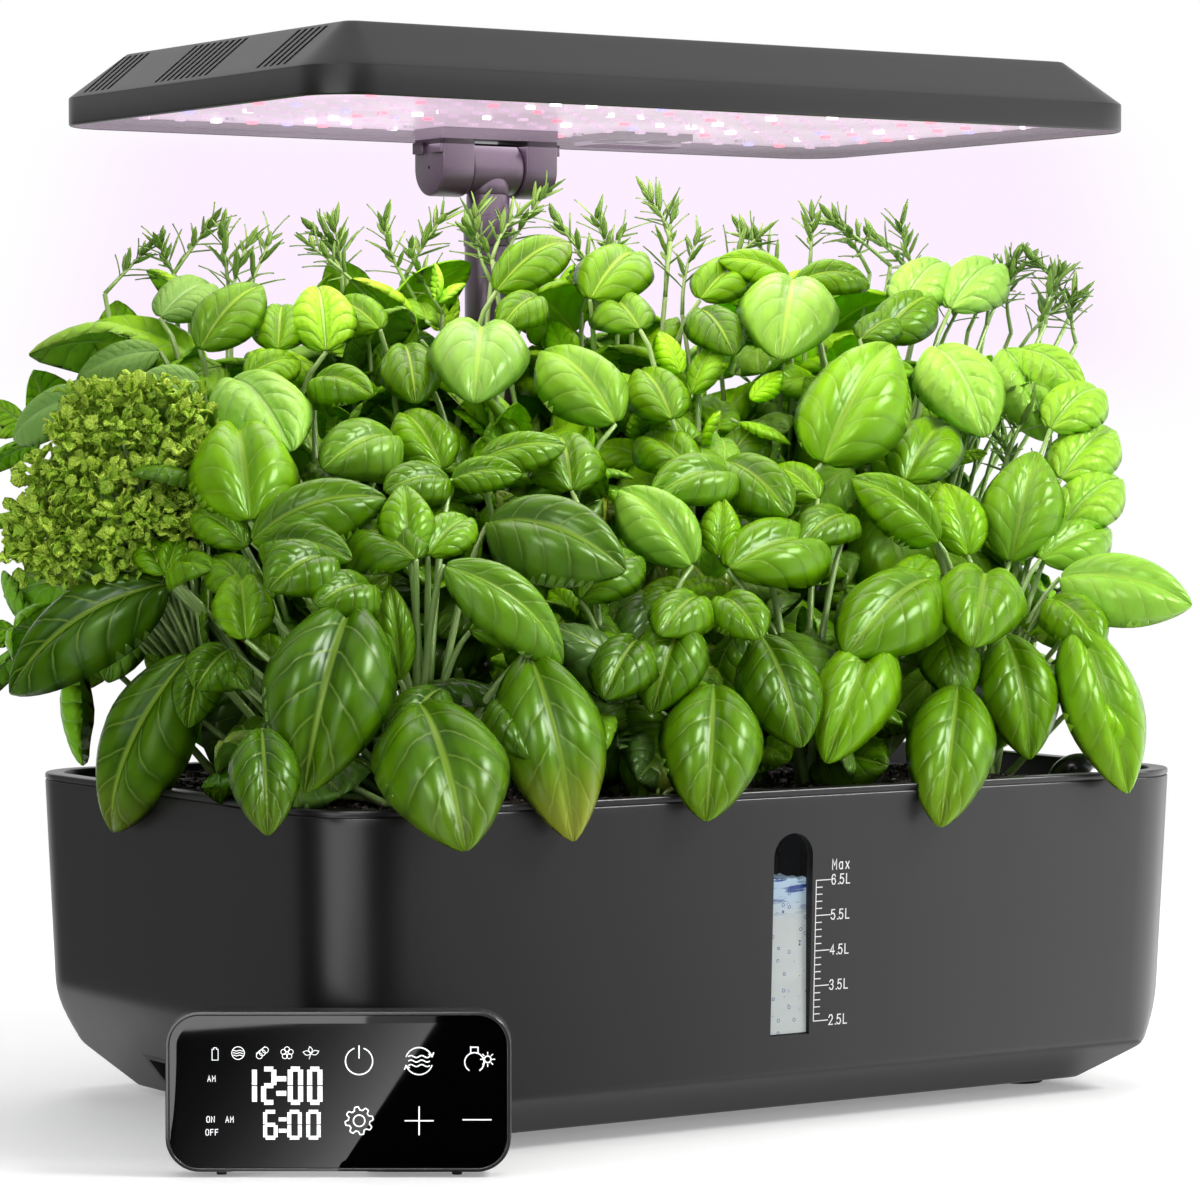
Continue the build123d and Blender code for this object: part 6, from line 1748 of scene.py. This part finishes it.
# Each foot lies a little higher than the one before, in millimetres.
FOOT_RAISE, FOOT_STEP = 1.0, 0.2
# High cards that the leaves mirror: start, end, low, high and glow.
SPARKLES = (((500, -1200), (1200, -600), 900, 1500, 42.0), ((-1200, -600), (-700, -1200), 900, 1400, 26.0))
# What the console's glass mirrors, as places in the camera's view: the dark card's corners, and the
# line across the glass by one place and its slope across per step down, with the levels it runs
# between and the glow at distances left of it.
CONSOLE_SHADE = ((150, 980), (530, 980), (530, 1172), (150, 1172))
SHEEN_EDGE = (444.0, 1010.0, -0.655)
SHEEN_LEVELS = (985.0, 1172.0)
SHEEN_GLOWS = ((0, 2.7), (45, 1.45), (90, 0.7), (135, 0.32), (180, 0.14), (260, 0.03))
SHADE_RAISE, SHEEN_RAISE = 0.003, 0.0035
# Studio lights: name, place, target, width, depth, power and colour.
LIGHTS = (
    ("key light", (1.1, -1.3, 1.7), (0.0, 0.0, 0.2), 0.6, 0.6, 27.0, (1.0, 0.99, 0.97)),
    ("side light", (1.15, -0.85, 0.25), (0.1, 0.0, 0.1), 0.5, 0.5, 2.5, (1.0, 1.0, 1.0)),
    ("left light", (-1.9, -0.6, 1.0), (0.0, 0.0, 0.15), 0.9, 1.8, 5.0, (1.0, 1.0, 1.0)),
    ("top light", (0.1, 0.3, 2.2), (0.0, 0.0, 0.1), 1.6, 1.2, 13.0, (1.0, 1.0, 0.98)),
    ("back light", (0.9, 1.7, 1.3), (0.0, 0.0, 0.25), 1.4, 1.0, 9.0, (1.0, 0.98, 1.0)),
)


def linked(name, data):
    """New object with that data in the scene."""
    thing = bpy.data.objects.new(name, data)
    bpy.context.scene.collection.objects.link(thing)
    return thing


class GARDEN_OT_stage(bpy.types.Operator):
    """Sets the floor, the pale backdrop, the studio lights and the camera."""

    bl_idname = "garden.stage"
    bl_label = "Stage"

    def execute(self, context):
        sizes = context.scene.garden_sizes
        context.scene.view_settings.view_transform = "Standard"
        self.floor(sizes.floor)
        self.world()
        for light in LIGHTS:
            self.area_light(*light).visible_glossy = light[0] == "key light"
        low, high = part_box("lamp_lens")
        x, y = (low.x + high.x) / 2, (low.y + high.y) / 2
        size = ((high.x - low.x) * 0.9, (high.y - low.y) * 0.8)
        ends = ((x, y, low.z - 0.002), (x, y, 0.0))
        glow = self.area_light("lamp light", *ends, *size, sizes.lamp_light, (1.0, 0.86, 1.0))
        glow.visible_camera = False
        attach(glow, "lamp")
        self.camera()
        self.reflectors()
        return {"FINISHED"}

    def reflectors(self):
        """Cards that only glossy surfaces see, as in a studio tent."""
        for start, end, low, high, glow in SPARKLES:
            self.standing("sparkle", start, end, low, high, (glow,) * 4)
        for place, (name, foot_start, foot_end, start, end, first, last) in enumerate(REFLECTORS):
            raised = FOOT_RAISE + FOOT_STEP * place
            self.standing(name, start, end, raised, CARD_HEIGHT, (first, last, last, first))
            corners = [(*point, raised) for point in (foot_start, foot_end, end, start)]
            self.card(name, np.array(corners) * MM + CENTRE, (first, last, last, first))
        self.card("console shade", self.mirrored(CONSOLE_SHADE, SHADE_RAISE), (0.0,) * 4)
        upper, lower = SHEEN_LEVELS
        above, below = (SHEEN_EDGE[0] + SHEEN_EDGE[2] * (v - SHEEN_EDGE[1]) for v in SHEEN_LEVELS)
        for (near, first), (far, last) in zip(SHEEN_GLOWS, SHEEN_GLOWS[1:]):
            ring = [(above - near, upper), (above - far, upper), (below - far, lower), (below - near, lower)]
            self.card("console sheen", self.mirrored(ring, SHEEN_RAISE), (first, last, last, first))

    def mirrored(self, places, level):
        """Points at a level that the console's glass mirrors at places in the camera's view."""
        right, up, forwards = camera_axes()
        u, v = (np.array(places, float).T - VIEW_SIZE / 2) / VIEW_SCALE
        ray = unit(forwards + right * u[:, None] - up * v[:, None])
        start = np.array(CAMERA_PLACE) * MM + CENTRE
        facing = -np.array(CONSOLE_TURNED)[:, 1]
        hit = start + ray * (((CONSOLE_PLACE * MM + CENTRE - start) @ facing) / (ray @ facing))[:, None]
        back = ray - 2 * (ray @ facing)[:, None] * facing
        return hit + back * np.maximum((level - hit[:, 2]) / back[:, 2], 0.0002)[:, None]

    def standing(self, name, start, end, low, high, glows):
        """Upright card over the line from start to end."""
        corners = [(*start, low), (*end, low), (*end, high), (*start, high)]
        self.card(name, np.array(corners) * MM + CENTRE, glows)

    def card(self, name, points, glows):
        """Flat four-cornered card that only glossy rays see, with a glow at each corner."""
        mesh = bpy.data.meshes.new(name)
        mesh.from_pydata([tuple(point) for point in points], [], [(0, 1, 2, 3)])
        tone = mesh.color_attributes.new("tone", "FLOAT_COLOR", "POINT")
        tone.data.foreach_set("color", [part for glow in glows for part in (glow, glow, glow, 1.0)])
        card = linked(name, mesh)
        card.visible_camera = card.visible_diffuse = card.visible_shadow = card.visible_transmission = False
        mesh.materials.append(finish_of("reflector"))

    def area_light(self, name, place, target, width, depth, power, colour):
        """Rectangular light at a place in metres, turned to its target."""
        data = bpy.data.lights.new(name, "AREA")
        data.shape = "RECTANGLE"
        data.size, data.size_y = width, depth
        data.energy, data.color = power, colour
        light = linked(name, data)
        light.location = place
        light.rotation_euler = (Vector(target) - Vector(place)).to_track_quat("-Z", "Y").to_euler()
        return light

    def floor(self, half):
        """Floor that shows the shadow near the garden and fades to the white backdrop."""
        mesh = bpy.data.meshes.new("floor")
        corners = [(x * half, y * half, -0.0002) for x, y in ((-1, -1), (1, -1), (1, 1), (-1, 1))]
        mesh.from_pydata(corners, [], [(0, 1, 2, 3)])
        material, w, shader = new_material("floor")
        place = w.place()
        tone = w.blend(w.noise(place, 3.0), (0.9, 0.9, 0.9), (0.94, 0.94, 0.94))
        distance = w.node("VectorMath", {"operation": "LENGTH"}, i0=place).outputs["Value"]
        fade = w.step(distance, 0.42, 1.0)
        seen = w.seen()
        w.set(shader, Base_Color=tone, Roughness=0.35, Specular_IOR_Level=0.0)
        w.set(shader, Emission_Color=(1, 1, 1, 1), Emission_Strength=w.mul(seen, 0.26))
        glow = w.node("Emission", Color=(1, 1, 1, 1), Strength=w.mul_add(seen, 0.6, 0.4)).outputs[0]
        mixed = w.node("MixShader", i0=fade, i1=shader.outputs[0], i2=glow).outputs[0]
        w.set(next(node for node in w.tree.nodes if node.type == "OUTPUT_MATERIAL"), i0=mixed)
        mesh.materials.append(material)
        linked("floor", mesh)

    def world(self):
        """White where it is seen, with the lamp's faint pink haze; a plain pale grey as a light."""
        world = bpy.context.scene.world = bpy.data.worlds.new("studio")
        world.use_nodes = True
        w = Wiring(world.node_tree)
        w.tree.nodes.clear()
        way = w.node("TexCoord").outputs["Generated"]
        right, up, forwards = (
            w.node("VectorMath", {"operation": "DOT_PRODUCT"}, i0=way, i1=tuple(axis)).outputs["Value"]
            for axis in camera_axes()
        )
        ahead = w.calc("MAXIMUM", forwards, 0.02)
        across, above = w.calc("DIVIDE", right, ahead), w.calc("DIVIDE", up, ahead)
        reach = w.mul_add(w.sub(0.104, above), 0.28, 0.118)
        haze = w.step(w.sub(reach, w.size(across)), -0.012, 0.03)
        haze = w.mul(haze, w.sub(1.0, w.step(above, 0.098, 0.112)))
        haze = w.mul(haze, w.step(above, 0.034, 0.062))
        haze = w.mul(haze, w.step(ahead, 0.9, 0.95))
        pale = w.blend(haze, (1.0, 1.0, 1.0), (0.98, 0.86, 1.0))
        colour = w.blend(w.seen(), (0.44, 0.44, 0.45), pale)
        background = w.node("Background", Color=colour, Strength=1.0)
        w.node("OutputWorld", i0=background.outputs[0])

    def camera(self):
        """Camera from its place, yaw, pitch and lens."""
        data = bpy.data.cameras.new("camera")
        data.sensor_width, data.lens = SENSOR_WIDTH, CAMERA_LENS
        data.clip_start, data.clip_end = 0.05, 100.0
        camera = linked("camera", data)
        right, up, forwards = camera_axes()
        turn = Matrix(np.stack([right, up, -forwards], -1).tolist()).to_4x4()
        camera.matrix_world = Matrix.Translation(Vector(np.array(CAMERA_PLACE) * MM + CENTRE)) @ turn
        bpy.context.scene.camera = camera


# ---------- operators
class GARDEN_OT_tank(bpy.types.Operator):
    """Makes the tank, with its window hole and inlet pocket, and its feet."""

    bl_idname = "garden.tank"
    bl_label = "Tank"

    def execute(self, context):
        tank = make_piece("tank", tank_surface(), "tank plastic", "tank", "tank_shell", 60)
        outline = arch_outline(WINDOW_WIDTH, RIM - WINDOW_LOW_DROP, RIM - WINDOW_TOP_DROP)
        cut_away(tank, skin(np.array(wall_plate(outline, -3.0, 8.0))), 50)
        low, high = span("power_inlet")
        room = block(Surface(), (-RIM_LENGTH / 2, *(low[1:] - 0.1)), (high[0] + 0.2, *(high[1:] + 0.1)))
        cut_away(tank, room, 50)
        make_piece("feet", feet_surface(), "black rubber", "tank", "tank_feet")
        dress(power_inlet="inlet plastic")
        return {"FINISHED"}


class GARDEN_OT_window(bpy.types.Operator):
    """Makes the level window, its gasket, the water behind it and the printed scale."""

    bl_idname = "garden.window"
    bl_label = "Level window"

    def execute(self, context):
        dress(window_gasket="seal rubber", level_window="window clear")
        make_piece("water", water_surface(), "water", "tank", sharp=50)
        make_piece("water_scale", scale_surface(), "print", "tank")
        return {"FINISHED"}


class GARDEN_OT_lid(bpy.types.Operator):
    """Makes the planted lid: rim and tray, soil with its crumbs, pods and the refill cap."""

    bl_idname = "garden.lid"
    bl_label = "Lid and soil"

    def execute(self, context):
        sizes = context.scene.garden_sizes
        lid = make_piece("lid", lid_surface(), "lid plastic", "lid", "planting_lid", 50)
        cut_away(lid, lathe([(10.2, RIM - 30), (10.2, RIM - 2)], (*CAP_MIDDLE, 0.0)), 50)
        make_piece("soil", soil_surface(), "soil", "lid", "soil_bed", None)
        make_piece("soil_crumbs", crumbs_surface(sizes.crumbs, 3, (1.2, 4.0)), "soil", "lid")
        make_piece("pale_grains", crumbs_surface(sizes.grains, 5, (0.8, 2.4)), "perlite", "lid")
        body = node = "refill_cap"
        make_piece("refill_cap_dome", cap_surface(), "cap plastic", body, node, 40)
        dress(pod_baskets="basket plastic", pod_sponges="sponge", cap_seal="seal rubber")
        return {"FINISHED"}


class GARDEN_OT_mast(bpy.types.Operator):
    """Makes the mast: socket, outer tube, collar, inner tube and the hinge drum."""

    bl_idname = "garden.mast"
    bl_label = "Mast"

    def execute(self, context):
        middle = (*MAST_MIDDLE[:2], 0.0)
        socket, tube, collar, inner = (lathe(profile, middle, segments=64) for profile in mast_profiles())
        for name, surface, finish, body, node, slot in (
            ("socket", socket, "mast plastic", "lid", "mast_socket", "mast_plastic"),
            ("mast_outer", tube, "mast tube", "lid", "outer_tube", "mast_tube_metal"),
            ("mast_collar", collar, "mast plastic", "lid", "tube_collar", "mast_plastic"),
            ("mast_inner", inner, "mast tube", "mast", "inner_tube", "mast_tube_metal"),
            ("hinge_drum", knuckle_surface(), "mast plastic", "mast", "hinge_knuckle", "mast_plastic"),
        ):
            make_piece(name, surface, finish, body, node, 40)
        dress(socket_screws="bright steel", neck_screw="bright steel", hinge_washers="nylon")
        return {"FINISHED"}


class GARDEN_OT_hinge(bpy.types.Operator):
    """Makes the lamp's hinge cheeks and their pin."""

    bl_idname = "garden.hinge"
    bl_label = "Hinge"

    def execute(self, context):
        for name, surface, node, slot in (
            ("hinge", hinge_surface(), "hinge_bracket", "mast_plastic"),
            ("hinge_pin_heads", hinge_pin_surface(), "hinge_pin", "screw_steel"),
        ):
            make_piece(name, surface, "mast plastic", "lamp", node, 40)
        return {"FINISHED"}


class GARDEN_OT_lamp(bpy.types.Operator):
    """Makes the lamp: housing with its vents, lens, board, light chips, fan and driver."""

    bl_idname = "garden.lamp"
    bl_label = "Lamp"

    def execute(self, context):
        for name, surface, finish, node, slot, cutters, sharp in (
            ("lamp", lamp_surface(), "lamp plastic", "lamp_housing", "lamp_plastic", vent_cutters(), 30),
            ("lens", lens_surface(), "lens clear", "lamp_lens", "lens_clear", lens_cutters(), 40),
        ):
            cut_away(make_piece(name, surface, finish, "lamp", node, sharp), cutters, sharp)
        dress(light_board="white enamel", lamp_screws="bright steel", white_leds="white light")
        dress(red_leds="red light", blue_leds="blue light", fan_frame="fan plastic", fan_rotor="fan plastic")
        dress(driver_board="circuit board", driver_parts="component")
        return {"FINISHED"}


class GARDEN_OT_pump(bpy.types.Operator):
    """Finishes the pump inside the tank."""

    bl_idname = "garden.pump"
    bl_label = "Pump"

    def execute(self, context):
        dress(pump_housing="pump plastic", pump_cover="pump plastic", pump_suction_cups="black rubber")
        dress(pump_shaft="bright steel", impeller="impeller plastic", impeller_magnet="magnet coating")
        return {"FINISHED"}


class GARDEN_OT_console(bpy.types.Operator):
    """Makes the console's frame, glass, shell, digits and signs."""

    bl_idname = "garden.console"
    bl_label = "Console"

    def execute(self, context):
        for name, surface, finish, node, slot, sharp in (
            ("frame", console_rim_surface(), "console frame", "console_rim", "frame", 50),
            ("back", console_shell_surface(), "console plastic", "console_shell", "plastic", 40),
            ("pane", console_glass_surface(), "console face", "console_glass", "face", 40),
            ("digits", display_surface(), "sign", None, "face", 35),
            ("signs", signs_surface(), "sign", None, "face", 35),
        ):
            make_piece(f"console_{name}", surface, finish, "console", node, sharp)
        dress(console_board="circuit board", console_display="component", console_touch_pad="component")
        dress(console_battery="battery foil", console_stand="console plastic", console_pads="black rubber")
        return {"FINISHED"}


class GARDEN_OT_plants(bpy.types.Operator):
    """Grows the twelve plants."""

    bl_idname = "garden.plants"
    bl_label = "Plants"

    def execute(self, context):
        clearing = Clearing()
        for row, column in np.ndindex(3, 4):
            pod = f"{ROW_NAMES[row]}_{column + 1}"
            surface = plant_surface(row, column, context.scene.garden_sizes.fullness, clearing)
            make_piece(f"herbs_{pod}", surface, KINDS, "lid", f"plant_{pod}", None)
        return {"FINISHED"}


class GARDEN_PT_panel(bpy.types.Panel):
    """Lists the garden's steps and settings."""

    bl_idname = "GARDEN_PT_panel"
    bl_label = "Hydroponic garden"
    bl_space_type = "VIEW_3D"
    bl_region_type = "UI"
    bl_category = "Garden"

    def draw(self, context):
        layout = self.layout
        for step in STEPS:
            layout.operator(step.bl_idname, text=step.bl_label)
        for settings in (context.scene.garden_sizes, context.scene.garden_finish):
            box = layout.box()
            for name in type(settings).__annotations__:
                box.prop(settings, name)


STEPS = (
    *(GARDEN_OT_stage, GARDEN_OT_tank, GARDEN_OT_window, GARDEN_OT_lid, GARDEN_OT_mast),
    *(GARDEN_OT_hinge, GARDEN_OT_lamp, GARDEN_OT_pump, GARDEN_OT_console, GARDEN_OT_plants),
)
CLASSES = (GardenFinish, GardenSizes, *STEPS, GARDEN_PT_panel)


def register():
    for item in CLASSES:
        bpy.utils.register_class(item)
    bpy.types.Scene.garden_finish = PointerProperty(type=GardenFinish)
    bpy.types.Scene.garden_sizes = PointerProperty(type=GardenSizes)


def unregister():
    del bpy.types.Scene.garden_sizes
    del bpy.types.Scene.garden_finish
    for item in reversed(CLASSES):
        bpy.utils.unregister_class(item)


def main():
    register()
    for step in STEPS:
        group_name, name = step.bl_idname.split(".")
        if getattr(getattr(bpy.ops, group_name), name)() != {"FINISHED"}:
            raise RuntimeError(f"{step.bl_label} didn't finish")


if __name__ == "__main__":
    main()
